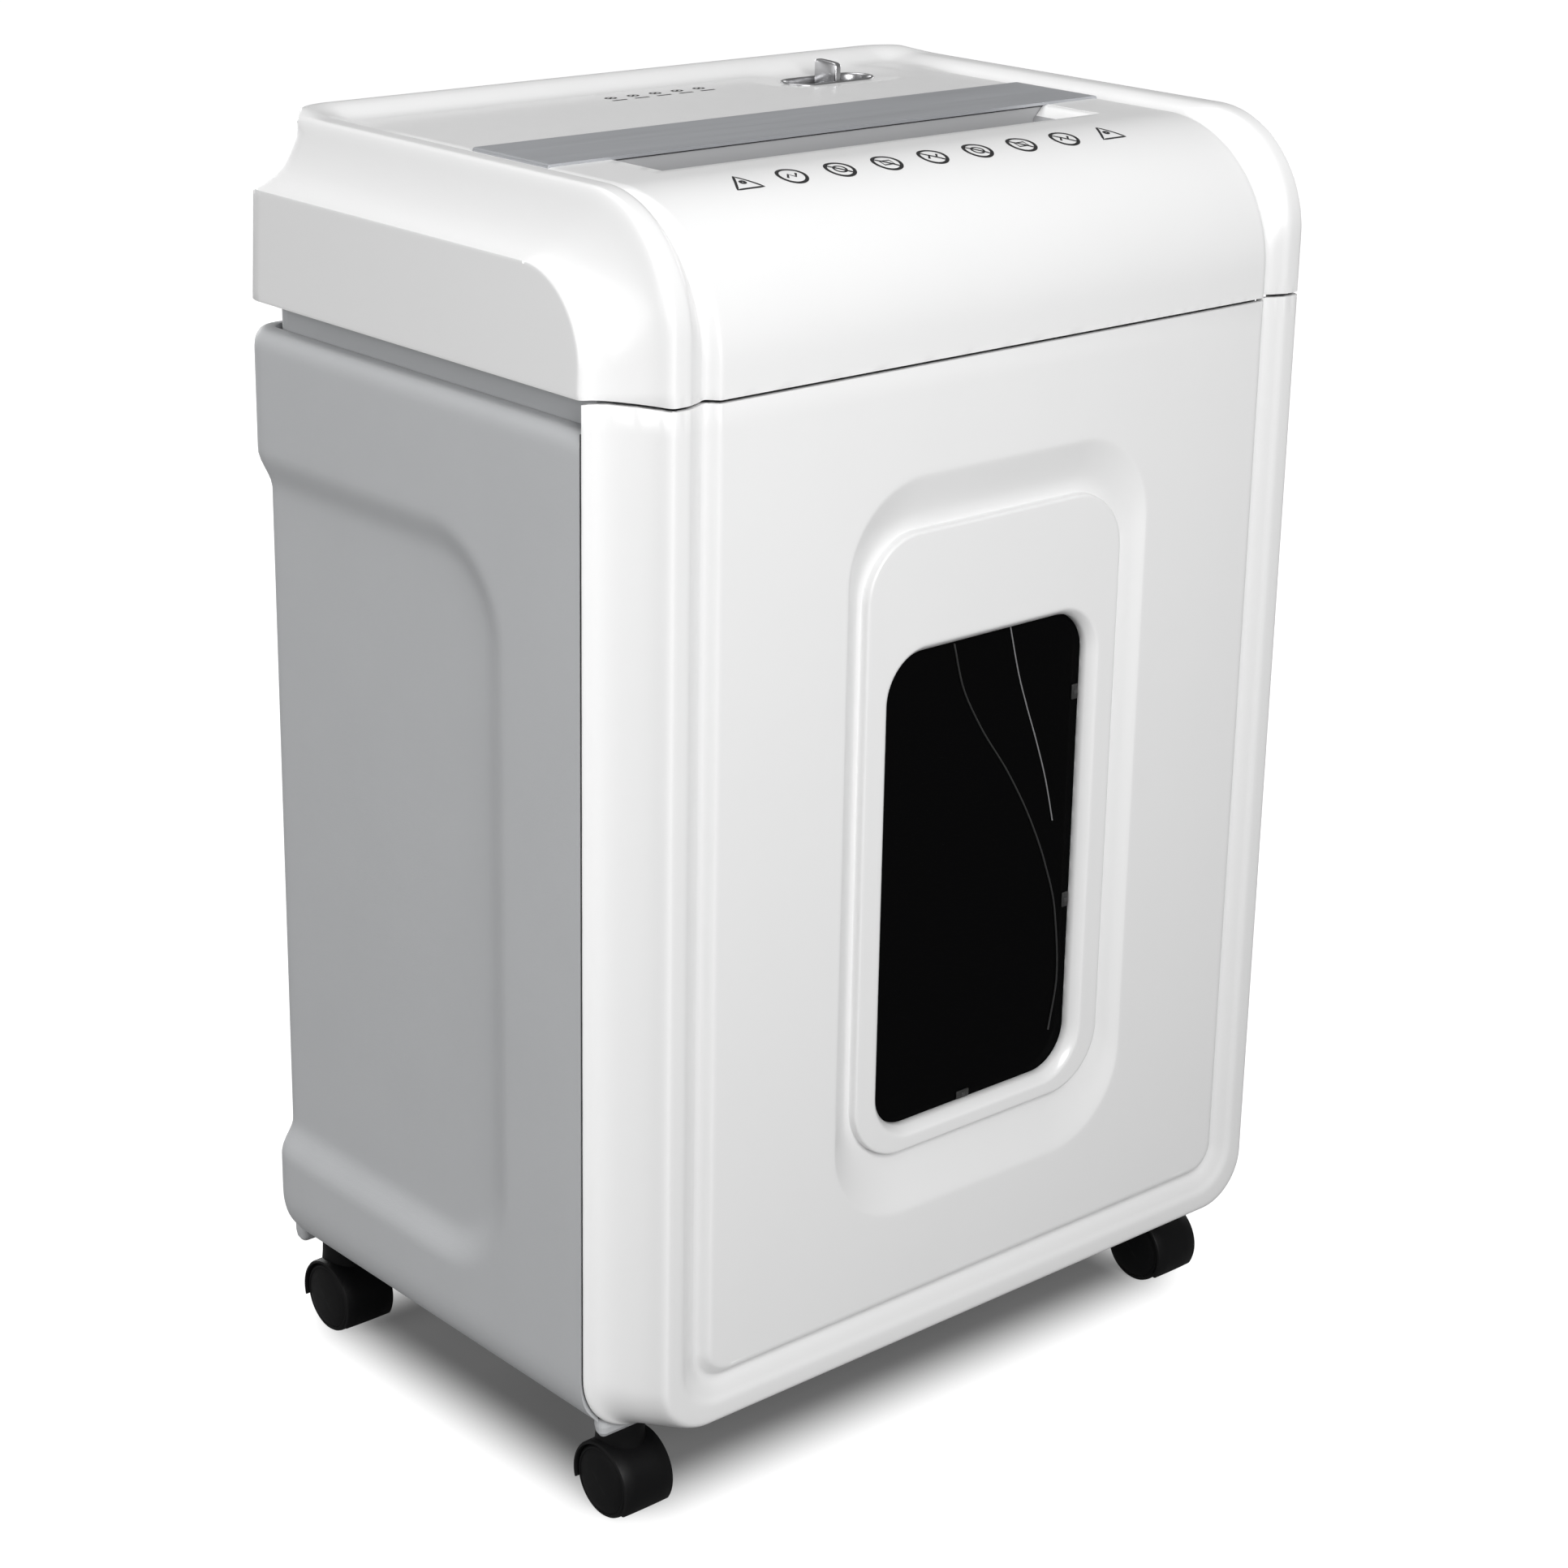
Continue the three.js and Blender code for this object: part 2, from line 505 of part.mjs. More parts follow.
// The side recesses carry on round the rear corners and across the back.
const rearBand = cut(
  block(-HALF - 2, HALF + 2, toward(200), BACK + 2, RECESS.low, RECESS.high),
  upright([
    [cabinetPlan(-0.4), RECESS.low - 0.2],
    [cabinetPlan(RECESS.depth), RECESS.shelfLow],
    [cabinetPlan(RECESS.depth), RECESS.shelfHigh],
    [cabinetPlan(-0.4), RECESS.high + 0.2],
  ]),
);
piece('cabinet_body', 'grey', cut(
  upright([
    [cabinetPlan(9), BASE_TOP + GAP],
    [cabinetPlan(4), 60.4],
    [cabinetPlan(0.8), 68],
    [cabinetPlan(0), 76],
    [cabinetPlan(0), LEDGE - 7],
    [cabinetPlan(2), LEDGE - 2],
    [cabinetPlan(6), LEDGE],
  ]),
  upright([[bayPlan, FLOOR], [bayPlan, LEDGE + 1]]),
  sideRecess(-1), sideRecess(1), rearBand,
));

// ---- power inlet: socket set in the rear wall of the head ----
const inletBlock = (inset, y0, y1) => block(INLET.x - INLET.half + inset, INLET.x + INLET.half - inset,
  y0, y1, INLET.low + inset, INLET.high - inset);
piece('power_inlet', 'black', cut(
  join(inletBlock(GAP, BACK - 14, BACK + 1), inletBlock(-3, BACK + 0.3, BACK + 2.4)),
  inletBlock(2.6, BACK - 8, BACK + 3),
));

// ---- base plate: recessed along the sides, with a wider foot bar at each end ----
const basePlan = (half, y0, y1, inset, radius) => roundedRect(-half + inset, half - inset,
  toward(y0 + inset), toward(y1 - inset), radius, 5);
const baseSlab = (half, y0, y1, radius) => upright([
  [basePlan(half, y0, y1, 2, radius - 2), BASE_LOW],
  [basePlan(half, y0, y1, 0.6, radius - 0.6), BASE_LOW + 2],
  [basePlan(half, y0, y1, 0, radius), BASE_LOW + 5],
  [basePlan(half, y0, y1, 0, radius), BASE_TOP],
]);
const stemSpots = ['front', 'rear'].flatMap((end) => [-1, 1].map((side) => ({
  name: `${end}_${side < 0 ? 'left' : 'right'}`,
  x: side * CASTER_X,
  y: CASTER_STEMS[end],
})));
const STEM_R = 5;
piece('base_plate', 'grey', cut(
  join(baseSlab(176, 31.4, DEPTH - 1.5, 7), baseSlab(184, 31.4, 39, 3.6),
    baseSlab(184, DEPTH - 10, DEPTH - 1.5, 3.6)),
  ...stemSpots.map(({ x, y }) => bar('z', STEM_R + 0.3, 40, 53, [x, y], 16)),
));

// ---- bin front: white door panel of the drawer ----
const BIN_TOP = SEAM - 0.5;
const binStations = [
  [HALF, 48.4, 30, CREASE_DEPTH - GAP],
  [187.6, 49, 28, 23.6],
  [181.6, 50.6, 26, 14.4],
  [178, 52.6, 24.5, 7.4],
  [175.2, 55.2, 23, 0.3],
  [173.5, 56.8, 21.5, 0],
];
const binHollow = [
  [HALF - WALL, 51.6, 27, CREASE_DEPTH + 1],
  [184.4, 52.2, 25, 24],
  [176, 56.4, 22, 12],
  [170, 65.4, 18, 7],
];
const uLevels = (rows, top) => facing(rows.map(([w, low, r, y]) => [uOutline(w, low, r, top), y]));
// The groove that frames the main panel: a section of half width and depth, carried round a U.
const GROOVE = [[151.6, -1], [152.4, 0], [156.6, 4.2], [158, 4.2], [162.4, 2], [167.4, 0], [168.4, -1]];
const PANEL_LOW = 78.5;
function grooveCut() {
  const lines = GROOVE.map(([w, y]) => {
    const spread = w - GROOVE[0][0];
    return atDepth(uOutline(w, PANEL_LOW - spread, 11 + 0.6 * spread, BIN_TOP + 3), y);
  });
  const rings = lines[0].map((_, i) => lines.map((line) => line[i]));
  return loft(rings, [0, 1]);
}
const WINDOW = { half: 58, low: 156, high: 368, corner: 19 };
const windowRect = (grow) => roundedRect(-WINDOW.half - grow, WINDOW.half + grow, WINDOW.low - grow,
  WINDOW.high + grow, WINDOW.corner + grow);
const dish = facing([
  [roundedRect(-85, 85, 118, 444, 40), -0.5],
  [roundedRect(-74.6, 74.6, 142, 424, 30), 6],
]);
const surround = facing([
  [roundedRect(-71, 71, 147.6, 418.6, 25.5), 2],
  [roundedRect(-72.5, 72.5, 146, 420, 27), 3.4],
  [roundedRect(-72.5, 72.5, 146, 420, 27), 9],
]);
const backing = facing([[roundedRect(-92, 92, 111, 451, 46), 5], [roundedRect(-92, 92, 111, 451, 46), 9]]);
const opening = facing([[windowRect(3), 1], [windowRect(0), 6], [windowRect(0), 12]]);
piece('bin_front', 'white', cut(
  join(cut(uLevels(binStations, BIN_TOP), uLevels(binHollow, BIN_TOP - WALL), grooveCut(), dish),
    cut(backing, dish), surround),
  opening,
));
piece('window_pane', 'smoke', facing([[windowRect(7), 9.4], [windowRect(7), 11.6]]));

// ---- bin bucket: open box behind the front ----
const BUCKET = { half: 168, front: 14, rear: BAY_REAR - BIN_TRAVEL_CLEAR, low: 64, high: 430, wall: 2.6 };
const bucketPlan = (inset) => roundedRect(-BUCKET.half + inset, BUCKET.half - inset,
  toward(BUCKET.front + inset), toward(BUCKET.rear - inset), 12 - inset, 4);
piece('bin_bucket', 'black', cut(
  upright([[bucketPlan(0), BUCKET.low], [bucketPlan(0), BUCKET.high]]),
  upright([[bucketPlan(BUCKET.wall), BUCKET.low + BUCKET.wall], [bucketPlan(BUCKET.wall), BUCKET.high + 1]]),
  block(-60, 60, toward(10), toward(20), 158, 366),
));

// Magnet on the bin front and the sensor that reads it from the head base.
piece('bin_magnet', 'steel', block(-150, -140, toward(22), toward(29), 470, BIN_TOP - WALL - GAP));
piece('bin_sensor', 'black', block(-152, -138, toward(36.4), toward(42), 466, 482));

// ---- casters ----
function hoodShell(x, y, z) {
  const half = HOOD_WIDTH / 2;
  const drum = cut(
    bar('x', HOOD_R, x - half, x + half, [y, z], 28),
    bar('x', HOOD_R - 1.5, x - half - 1, x + half + 1, [y, z], 28),
    block(x - half - 1, x + half + 1, y - 30, y + 30, -5, 3),
    block(x - half - 1, x + half + 1, y, y + 30, -5, z),
  );
  const web = cut(
    bar('x', HOOD_R - 0.5, x - 1.8, x + 1.8, [y, z], 28),
    block(x - 3, x + 3, y - 30, y + 30, -5, 5),
    bar('x', 2.8, x - 3, x + 3, [y, z], 16),
  );
  const neck = cut(
    bar('z', 10, z + HOOD_R - 6, BASE_LOW - 1, [x, y + TRAIL], 20),
    bar('x', HOOD_R - 1, x - half, x + half, [y, z], 28),
  );
  const socket = bar('z', STEM_R + 0.3, z + HOOD_R - 0.8, BASE_LOW, [x, y + TRAIL], 16);
  return cut(join(drum, web, neck), socket);
}

// One half of the wheel pair, turned about the axle, with a domed outer face.
function wheel(x, y, z, side) {
  const tread = WHEEL_R / Math.cos(Math.PI / WHEEL_FACETS);
  const profile = [[2.8, 2.2], [tread - 1, 2.2], [tread, 3.2], [tread, 10.6], [tread - 1.6, 12.2],
    [8, 12.8], [0, 13], [0, 11.4], [2.8, 11.4], [2.8, 2.2]];
  const geometry = new THREE.LatheGeometry(profile.map(([r, h]) => new THREE.Vector2(r, h)), WHEEL_FACETS,
    Math.PI / WHEEL_FACETS);
  geometry.rotateZ((-side * Math.PI) / 2);
  geometry.translate(x, y, z);
  return solid(geometry);
}

stemSpots.forEach(({ name, x, y }) => {
  const axleY = y - TRAIL;
  piece(`caster_hood_${name}`, 'black', hoodShell(x, axleY, WHEEL_R));
  piece(`caster_stem_${name}`, 'steel', bar('z', STEM_R, WHEEL_R + HOOD_R - 0.4, 52.4, [x, y], 16));
  piece(`wheel_${name}_a`, 'black', wheel(x, axleY, WHEEL_R, -1));
  piece(`wheel_${name}_b`, 'black', wheel(x, axleY, WHEEL_R, 1));
  piece(`axle_${name}`, 'steel', bar('x', 2.5, x - 11, x + 11, [axleY, WHEEL_R], 16));
});

export default shredder;
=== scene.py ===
import json
import math

import bmesh
import bpy
from mathutils import Matrix, Vector
from mathutils.geometry import tessellate_polygon


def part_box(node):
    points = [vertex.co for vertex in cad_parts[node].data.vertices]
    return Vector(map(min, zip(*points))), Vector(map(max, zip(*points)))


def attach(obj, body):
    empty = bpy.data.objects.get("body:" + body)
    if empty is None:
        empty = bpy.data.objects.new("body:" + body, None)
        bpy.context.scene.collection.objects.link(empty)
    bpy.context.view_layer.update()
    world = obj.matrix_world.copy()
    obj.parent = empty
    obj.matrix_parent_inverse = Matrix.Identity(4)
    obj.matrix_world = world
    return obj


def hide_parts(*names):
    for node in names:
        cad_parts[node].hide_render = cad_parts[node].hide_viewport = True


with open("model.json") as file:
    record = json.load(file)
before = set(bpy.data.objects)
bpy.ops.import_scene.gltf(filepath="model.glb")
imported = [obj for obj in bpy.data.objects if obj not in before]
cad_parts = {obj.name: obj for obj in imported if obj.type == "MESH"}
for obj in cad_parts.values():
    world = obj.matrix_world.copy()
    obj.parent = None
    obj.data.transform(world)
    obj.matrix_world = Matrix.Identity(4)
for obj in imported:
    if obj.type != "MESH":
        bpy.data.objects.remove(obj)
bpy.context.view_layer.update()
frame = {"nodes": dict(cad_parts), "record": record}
NODES = frame["nodes"]

# Lengths are in millimetres up to the point where a mesh is made.
MM = 0.001
SIDE = 195.0
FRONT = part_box("bin_front")[0].y / MM
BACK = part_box("head_cover")[1].y / MM
DEPTH = BACK - FRONT
SEAM = 490.0
PANEL_TOP = 562.5
CREASE_TOP = 536.6
LEDGE = 478.0  # top of the cabinet's side walls
SINK = 1.7  # depth of the dip in the top round the switch
PRINT_LIFT = 0.06  # height of a printed mark above the surface

# ---------------------------------------------------------------- camera
# The target is given from the front panel at the height of the seam; angles are in degrees.
TARGET = (-118.34, 0.0, -127.08)
AZIMUTH, ELEVATION, ROLL = -41.56, 18.92, 1.06
DISTANCE = 1316.74
FOCAL = 4149.24  # in pixels of a frame FRAME_WIDTH wide
FRAME_WIDTH = 1932
SENSOR = 36.0
SHIFT = -0.05


def make_camera():
    az, el, roll = (math.radians(v) for v in (AZIMUTH, ELEVATION, ROLL))
    back = Vector((math.sin(az) * math.cos(el), -math.cos(az) * math.cos(el), math.sin(el)))
    target = Vector((TARGET[0], TARGET[1] + FRONT, TARGET[2] + SEAM)) * MM
    right = (-back).cross(Vector((0, 0, 1))).normalized()
    up = right.cross(-back)
    right2 = right * math.cos(roll) + up * math.sin(roll)
    up2 = -right * math.sin(roll) + up * math.cos(roll)
    data = bpy.data.cameras.new("camera")
    data.sensor_width = SENSOR
    data.lens = FOCAL / FRAME_WIDTH * SENSOR
    data.shift_y = SHIFT
    data.clip_start = 0.01
    data.clip_end = 50
    camera = bpy.data.objects.new("camera", data)
    bpy.context.scene.collection.objects.link(camera)
    basis = Matrix((right2, up2, back)).transposed().to_4x4()
    camera.matrix_world = Matrix.Translation(target + back * DISTANCE * MM) @ basis
    bpy.context.scene.camera = camera


make_camera()


# ---------------------------------------------------------------- small maths
def smooth(a, b, v):
    t = max(0.0, min(1.0, (v - a) / (b - a)))
    return t * t * (3 - 2 * t)


def lerp(a, b, t):
    return a + (b - a) * t


def spread(a, b, count):
    return [lerp(a, b, i / count) for i in range(count + 1)]


def arc(cx, cy, r, a, b, count):
    return [
        (cx + r * math.cos(math.radians(t)), cy + r * math.sin(math.radians(t)))
        for t in spread(a, b, count)
    ]


def monotone(xs, ys):
    """Smooth curve through points that never overshoots them."""
    n = len(xs)
    d = [(ys[i + 1] - ys[i]) / (xs[i + 1] - xs[i]) for i in range(n - 1)]
    m = [d[0]] + [0.0] * (n - 2) + [d[-1]]
    for i in range(1, n - 1):
        if d[i - 1] * d[i] > 0:
            m[i] = 2 * d[i - 1] * d[i] / (d[i - 1] + d[i])

    def value(x):
        if x <= xs[0]:
            return ys[0]
        if x >= xs[-1]:
            return ys[-1]
        i = max(k for k in range(n - 1) if xs[k] <= x)
        h = xs[i + 1] - xs[i]
        t = (x - xs[i]) / h
        return (
            ys[i] * (1 + 2 * t) * (1 - t) ** 2
            + m[i] * h * t * (1 - t) ** 2
            + ys[i + 1] * t * t * (3 - 2 * t)
            + m[i + 1] * h * t * t * (t - 1)
        )

    return value


def rounded_rect(x0, x1, z0, z1, r, steps=10, side=14):
    """Closed outline, anticlockwise from the middle of its lower edge."""
    pts = [(lerp((x0 + x1) / 2, x1 - r, t), z0) for t in spread(0, 1, side)[:-1]]
    pts += arc(x1 - r, z0 + r, r, -90, 0, steps)
    pts += [(x1, lerp(z0 + r, z1 - r, t)) for t in spread(0, 1, 2 * side)[1:-1]]
    pts += arc(x1 - r, z1 - r, r, 0, 90, steps)
    pts += [(lerp(x1 - r, x0 + r, t), z1) for t in spread(0, 1, 2 * side)[1:-1]]
    pts += arc(x0 + r, z1 - r, r, 90, 180, steps)
    pts += [(x0, lerp(z1 - r, z0 + r, t)) for t in spread(0, 1, 2 * side)[1:-1]]
    pts += arc(x0 + r, z0 + r, r, 180, 270, steps)
    pts += [(lerp(x0 + r, (x0 + x1) / 2, t), z0) for t in spread(0, 1, side)[1:-1]]
    return pts


# ---------------------------------------------------------------- mesh helpers
def make_object(name, verts, faces, sharp=40.0):
    mesh = bpy.data.meshes.new(name)
    mesh.from_pydata([tuple(c * MM for c in v) for v in verts], [], faces)
    mesh.validate()
    work = bmesh.new()
    work.from_mesh(mesh)
    bmesh.ops.remove_doubles(work, verts=work.verts, dist=1e-6)
    bmesh.ops.dissolve_degenerate(work, edges=work.edges, dist=1e-7)
    bmesh.ops.recalc_face_normals(work, faces=work.faces)
    work.to_mesh(mesh)
    work.free()
    obj = bpy.data.objects.new(name, mesh)
    bpy.context.scene.collection.objects.link(obj)
    mesh.shade_smooth()
    mesh.set_sharp_from_angle(angle=math.radians(sharp))
    return obj


def grid_faces(rows, columns, closed=False, first=0, keep=None):
    faces = []
    span = columns if closed else columns - 1
    for r in range(rows - 1):
        for c in range(span):
            if keep and not keep(r, c):
                continue
            n = (c + 1) % columns
            a = first + r * columns
            b = a + columns
            faces.append((a + c, a + n, b + n, b + c))
    return faces


def loft(name, rings, closed=True, caps=True, sharp=40.0):
    verts = [p for ring in rings for p in ring]
    count = len(rings[0])
    faces = grid_faces(len(rings), count, closed)
    if caps:
        last = (len(rings) - 1) * count
        faces.append(tuple(range(count)))
        faces.append(tuple(range(last, last + count)))
    return make_object(name, verts, faces, sharp)


def inset_large(obj, width):
    """Support loop inside every many-sided flat face, so that its shading stays flat."""
    work = bmesh.new()
    work.from_mesh(obj.data)
    large = [f for f in work.faces if len(f.verts) > 16]
    bmesh.ops.inset_individual(work, faces=large, thickness=width * MM, use_even_offset=True)
    work.to_mesh(obj.data)
    work.free()


def apply_modifiers(obj):
    graph = bpy.context.evaluated_depsgraph_get()
    graph.update()
    mesh = bpy.data.meshes.new_from_object(obj.evaluated_get(graph))
    obj.modifiers.clear()
    obj.data = mesh


def solidify(obj, thickness, offset=-1.0):
    m = obj.modifiers.new("wall", "SOLIDIFY")
    m.thickness = thickness * MM
    m.offset = offset
    m.use_even_offset = False
    apply_modifiers(obj)


def weld(obj, distance=0.05):
    """Joins points that a wall's thickness has brought together."""
    work = bmesh.new()
    work.from_mesh(obj.data)
    bmesh.ops.remove_doubles(work, verts=work.verts, dist=distance * MM)
    bmesh.ops.dissolve_degenerate(work, edges=work.edges, dist=1e-7)
    work.to_mesh(obj.data)
    work.free()


def bevel(obj, width, angle=50.0, segments=2):
    m = obj.modifiers.new("edges", "BEVEL")
    m.width = width * MM
    m.segments = segments
    m.limit_method = "ANGLE"
    m.angle_limit = math.radians(angle)
    m.harden_normals = True
    apply_modifiers(obj)


def merge(name, objects):
    """One object out of several."""
    work = bmesh.new()
    for o in objects:
        work.from_mesh(o.data)
    mesh = bpy.data.meshes.new(name)
    work.to_mesh(mesh)
    work.free()
    for o in objects:
        bpy.data.objects.remove(o)
    obj = bpy.data.objects.new(name, mesh)
    bpy.context.scene.collection.objects.link(obj)
    mesh.shade_smooth()
    mesh.set_sharp_from_angle(angle=math.radians(40))
    return obj


def box_mesh(name, x0, x1, y0, y1, z0, z1, edge=0.4):
    verts = [(x, y, z) for x in (x0, x1) for y in (y0, y1) for z in (z0, z1)]
    faces = [(0, 1, 3, 2), (4, 6, 7, 5), (0, 4, 5, 1), (2, 3, 7, 6), (0, 2, 6, 4), (1, 5, 7, 3)]
    obj = make_object(name, verts, faces)
    bevel(obj, edge)
    return obj


# ---------------------------------------------------------------- materials
def socket(node, name, value):
    node.inputs[name].default_value = value


def new_material(name):
    mat = bpy.data.materials.new(name)
    mat.use_nodes = True
    return mat, mat.node_tree, mat.node_tree.nodes["Principled BSDF"]


def map_range(nodes, source, links, low, high, out_low, out_high, kind="LINEAR"):
    m = nodes.new("ShaderNodeMapRange")
    m.interpolation_type = kind
    for key, v in (("From Min", low), ("From Max", high), ("To Min", out_low), ("To Max", out_high)):
        socket(m, key, v)
    links.new(source, m.inputs["Value"])
    return m.outputs["Result"]


def surface(name, colour, rough, vary=0.05, grain=900.0, bump=0.05, depth=0.00012, mottle=0.03,
            metal=0.0, coat=0.0, coat_rough=0.1, stretch=(1, 1, 1), specular=0.5, wear_and_sheen=0.12,
            second=0.0, second_scale=220.0):
    """Moulded or machined finish: mottled colour, uneven roughness, fine grain, and lighter edges that are
    partly rubbed and partly a painted highlight.
    """
    mat, tree, shader = new_material(name)
    nodes, links = tree.nodes, tree.links
    place = nodes.new("ShaderNodeTexCoord")
    mapping = nodes.new("ShaderNodeMapping")
    mapping.inputs["Scale"].default_value = stretch
    links.new(place.outputs["Object"], mapping.inputs["Vector"])

    def noise(scale, detail, roughness=0.6):
        n = nodes.new("ShaderNodeTexNoise")
        socket(n, "Scale", scale)
        socket(n, "Detail", detail)
        socket(n, "Roughness", roughness)
        links.new(mapping.outputs["Vector"], n.inputs["Vector"])
        return n

    def remap(source, low, high, out_low, out_high):
        return map_range(nodes, source, links, low, high, out_low, out_high)

    cloud = noise(26, 4)
    fine = noise(grain, 3, 0.7)
    patches = noise(150, 5)
    geometry = nodes.new("ShaderNodeNewGeometry")
    # Convex edges are painted lighter: partly rubbed edges, partly a painted highlight along them.
    edges = remap(geometry.outputs["Pointiness"], 0.52, 0.62, 0.0, wear_and_sheen)

    shade = remap(cloud.outputs["Fac"], 0.25, 0.75, 1 - mottle, 1 + mottle)
    tint = nodes.new("ShaderNodeMix")
    tint.data_type = "RGBA"
    tint.blend_type = "MULTIPLY"
    socket(tint, 0, 1.0)
    tint.inputs[6].default_value = (*colour, 1)
    grey = nodes.new("ShaderNodeCombineColor")
    for channel in ("Red", "Green", "Blue"):
        links.new(shade, grey.inputs[channel])
    links.new(grey.outputs["Color"], tint.inputs[7])
    edge_rub_and_sheen = nodes.new("ShaderNodeMix")
    edge_rub_and_sheen.data_type = "RGBA"
    links.new(edges, edge_rub_and_sheen.inputs[0])
    links.new(tint.outputs[2], edge_rub_and_sheen.inputs[6])
    edge_rub_and_sheen.inputs[7].default_value = (*[min(1.0, c * 0.7 + 0.3) for c in colour], 1)
    links.new(edge_rub_and_sheen.outputs[2], shader.inputs["Base Color"])

    links.new(remap(patches.outputs["Fac"], 0.3, 0.7, rough - vary, rough + vary), shader.inputs["Roughness"])

    relief = nodes.new("ShaderNodeBump")
    socket(relief, "Strength", bump)
    socket(relief, "Distance", depth)
    links.new(fine.outputs["Fac"], relief.inputs["Height"])
    if second:
        swell = nodes.new("ShaderNodeBump")
        socket(swell, "Strength", second)
        socket(swell, "Distance", depth * 4)
        links.new(noise(second_scale, 2).outputs["Fac"], swell.inputs["Height"])
        links.new(swell.outputs["Normal"], relief.inputs["Normal"])
    links.new(relief.outputs["Normal"], shader.inputs["Normal"])
    socket(shader, "Metallic", metal)
    socket(shader, "Specular IOR Level", specular)
    socket(shader, "Coat Weight", coat)
    socket(shader, "Coat Roughness", coat_rough)
    return mat


LOOKS = {
    "white_plastic": surface("white_plastic", (0.835, 0.835, 0.835), 0.31, vary=0.025, grain=420, bump=0.012,
                             depth=0.00006, mottle=0.005, coat=0.3, coat_rough=0.12, wear_and_sheen=0.25),
    # Grey for the band under the head, tuned against the shade of the head's overhang: painted light.
    "band_shade_tuned_grey": surface("band_shade_tuned_grey", (0.44, 0.45, 0.462), 0.55, grain=500, bump=0.1, mottle=0.01),
    # Darker copy of the cabinet grey for the paper guide: painted shade in the slot under the plate's overhang.
    "guide_shaded_grey": surface("guide_shaded_grey", (0.36, 0.362, 0.37), 0.45, grain=900, bump=0.08, mottle=0.01),
    "grey_plastic": surface("grey_plastic", (0.515, 0.524, 0.536), 0.6, vary=0.05, grain=1300, bump=0.28,
                            depth=0.0002, mottle=0.012, wear_and_sheen=0.10, second=0.05),
    "satin_plate": surface("satin_plate", (0.515, 0.528, 0.553), 0.36, vary=0.05, grain=500, bump=0.06,
                           mottle=0.02, metal=0.55, stretch=(0.05, 1, 1), wear_and_sheen=0.15),
    "chrome": surface("chrome", (0.5, 0.5, 0.51), 0.35, vary=0.03, grain=400, bump=0.03, mottle=0.02,
                      metal=1.0, wear_and_sheen=0.3),
    "smoked_lens": surface("smoked_lens", (0.05, 0.05, 0.055), 0.2, grain=600, bump=0.02, coat=0.6),
    "circuit_board": surface("circuit_board", (0.02, 0.11, 0.05), 0.45, grain=300, bump=0.2, mottle=0.2),
    "steel": surface("steel", (0.42, 0.43, 0.45), 0.34, vary=0.1, grain=350, bump=0.12, mottle=0.08,
                     metal=0.95, stretch=(0.15, 1, 1), wear_and_sheen=0.4),
    "bronze": surface("bronze", (0.42, 0.27, 0.11), 0.4, grain=700, bump=0.15, mottle=0.1, metal=0.9),
    "nylon": surface("nylon", (0.66, 0.63, 0.54), 0.5, grain=700, bump=0.1, mottle=0.03),
    "black_plastic": surface("black_plastic", (0.014, 0.014, 0.016), 0.5, grain=1100, bump=0.25,
                             mottle=0.1, wear_and_sheen=0.06),
    "caster_black": surface("caster_black", (0.004, 0.004, 0.0043), 0.48, vary=0.05, grain=500, bump=0.06,
                            mottle=0.08, wear_and_sheen=0.02, specular=0.16),
    # Greys for the tubes behind the pane: a bright and a dim painted highlight.
    "light_line_grey": surface("light_line_grey", (0.2, 0.2, 0.205), 0.3, grain=400, bump=0.03),
    "light_line_dim": surface("light_line_dim", (0.012, 0.012, 0.012), 0.4, grain=400, bump=0.03, specular=0.3),
    "clip_grey": surface("clip_grey", (0.005, 0.005, 0.005), 0.45, grain=400, bump=0.05),
    "ink": surface("ink", (0.012, 0.012, 0.013), 0.5, grain=1500, bump=0.05, wear_and_sheen=0.0),
    "pale_ink": surface("pale_ink", (0.03, 0.03, 0.031), 0.5, grain=1500, bump=0.05, wear_and_sheen=0.0),
}


def smoked_glass():
    mat, tree, shader = new_material("smoked_window")
    nodes, links = tree.nodes, tree.links
    place = nodes.new("ShaderNodeTexCoord")
    waves = nodes.new("ShaderNodeTexNoise")
    socket(waves, "Scale", 9)
    socket(waves, "Detail", 2)
    links.new(place.outputs["Object"], waves.inputs["Vector"])
    smear = nodes.new("ShaderNodeTexNoise")
    socket(smear, "Scale", 60)
    socket(smear, "Detail", 5)
    links.new(place.outputs["Object"], smear.inputs["Vector"])
    rough = nodes.new("ShaderNodeMapRange")
    for key, v in (("From Min", 0.35), ("From Max", 0.75), ("To Min", 0.03), ("To Max", 0.09)):
        socket(rough, key, v)
    links.new(smear.outputs["Fac"], rough.inputs["Value"])
    links.new(rough.outputs["Result"], shader.inputs["Roughness"])
    relief = nodes.new("ShaderNodeBump")
    socket(relief, "Strength", 0.04)
    socket(relief, "Distance", 0.0006)
    links.new(waves.outputs["Fac"], relief.inputs["Height"])
    links.new(relief.outputs["Normal"], shader.inputs["Normal"])
    socket(shader, "Base Color", (0.004, 0.004, 0.0042, 1))
    socket(shader, "Transmission Weight", 0.35)
    socket(shader, "IOR", 1.09)
    socket(shader, "Specular IOR Level", 0.1)
    return mat


LOOKS["smoked_window"] = smoked_glass()


def finish_piece(obj, body, slot, *replaced, look=None):
    obj.data.materials.clear()
    obj.data.materials.append(LOOKS[look or slot])
    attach(obj, body)
    if replaced:
        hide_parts(*replaced)


# CAD nodes that stay take the material of their slot, except the band under the head, whose grey is tuned
# against the shade of the head's overhang: painted light.
for part in frame["record"]["subparts"]:
    node = NODES[part["node"]]
    node.data.materials.clear()
    own = {"head_base": "band_shade_tuned_grey"}.get(part["node"], part["material_slot"])
    node.data.materials.append(LOOKS[own])
    node.data.shade_smooth()
    node.data.set_sharp_from_angle(angle=math.radians(32))


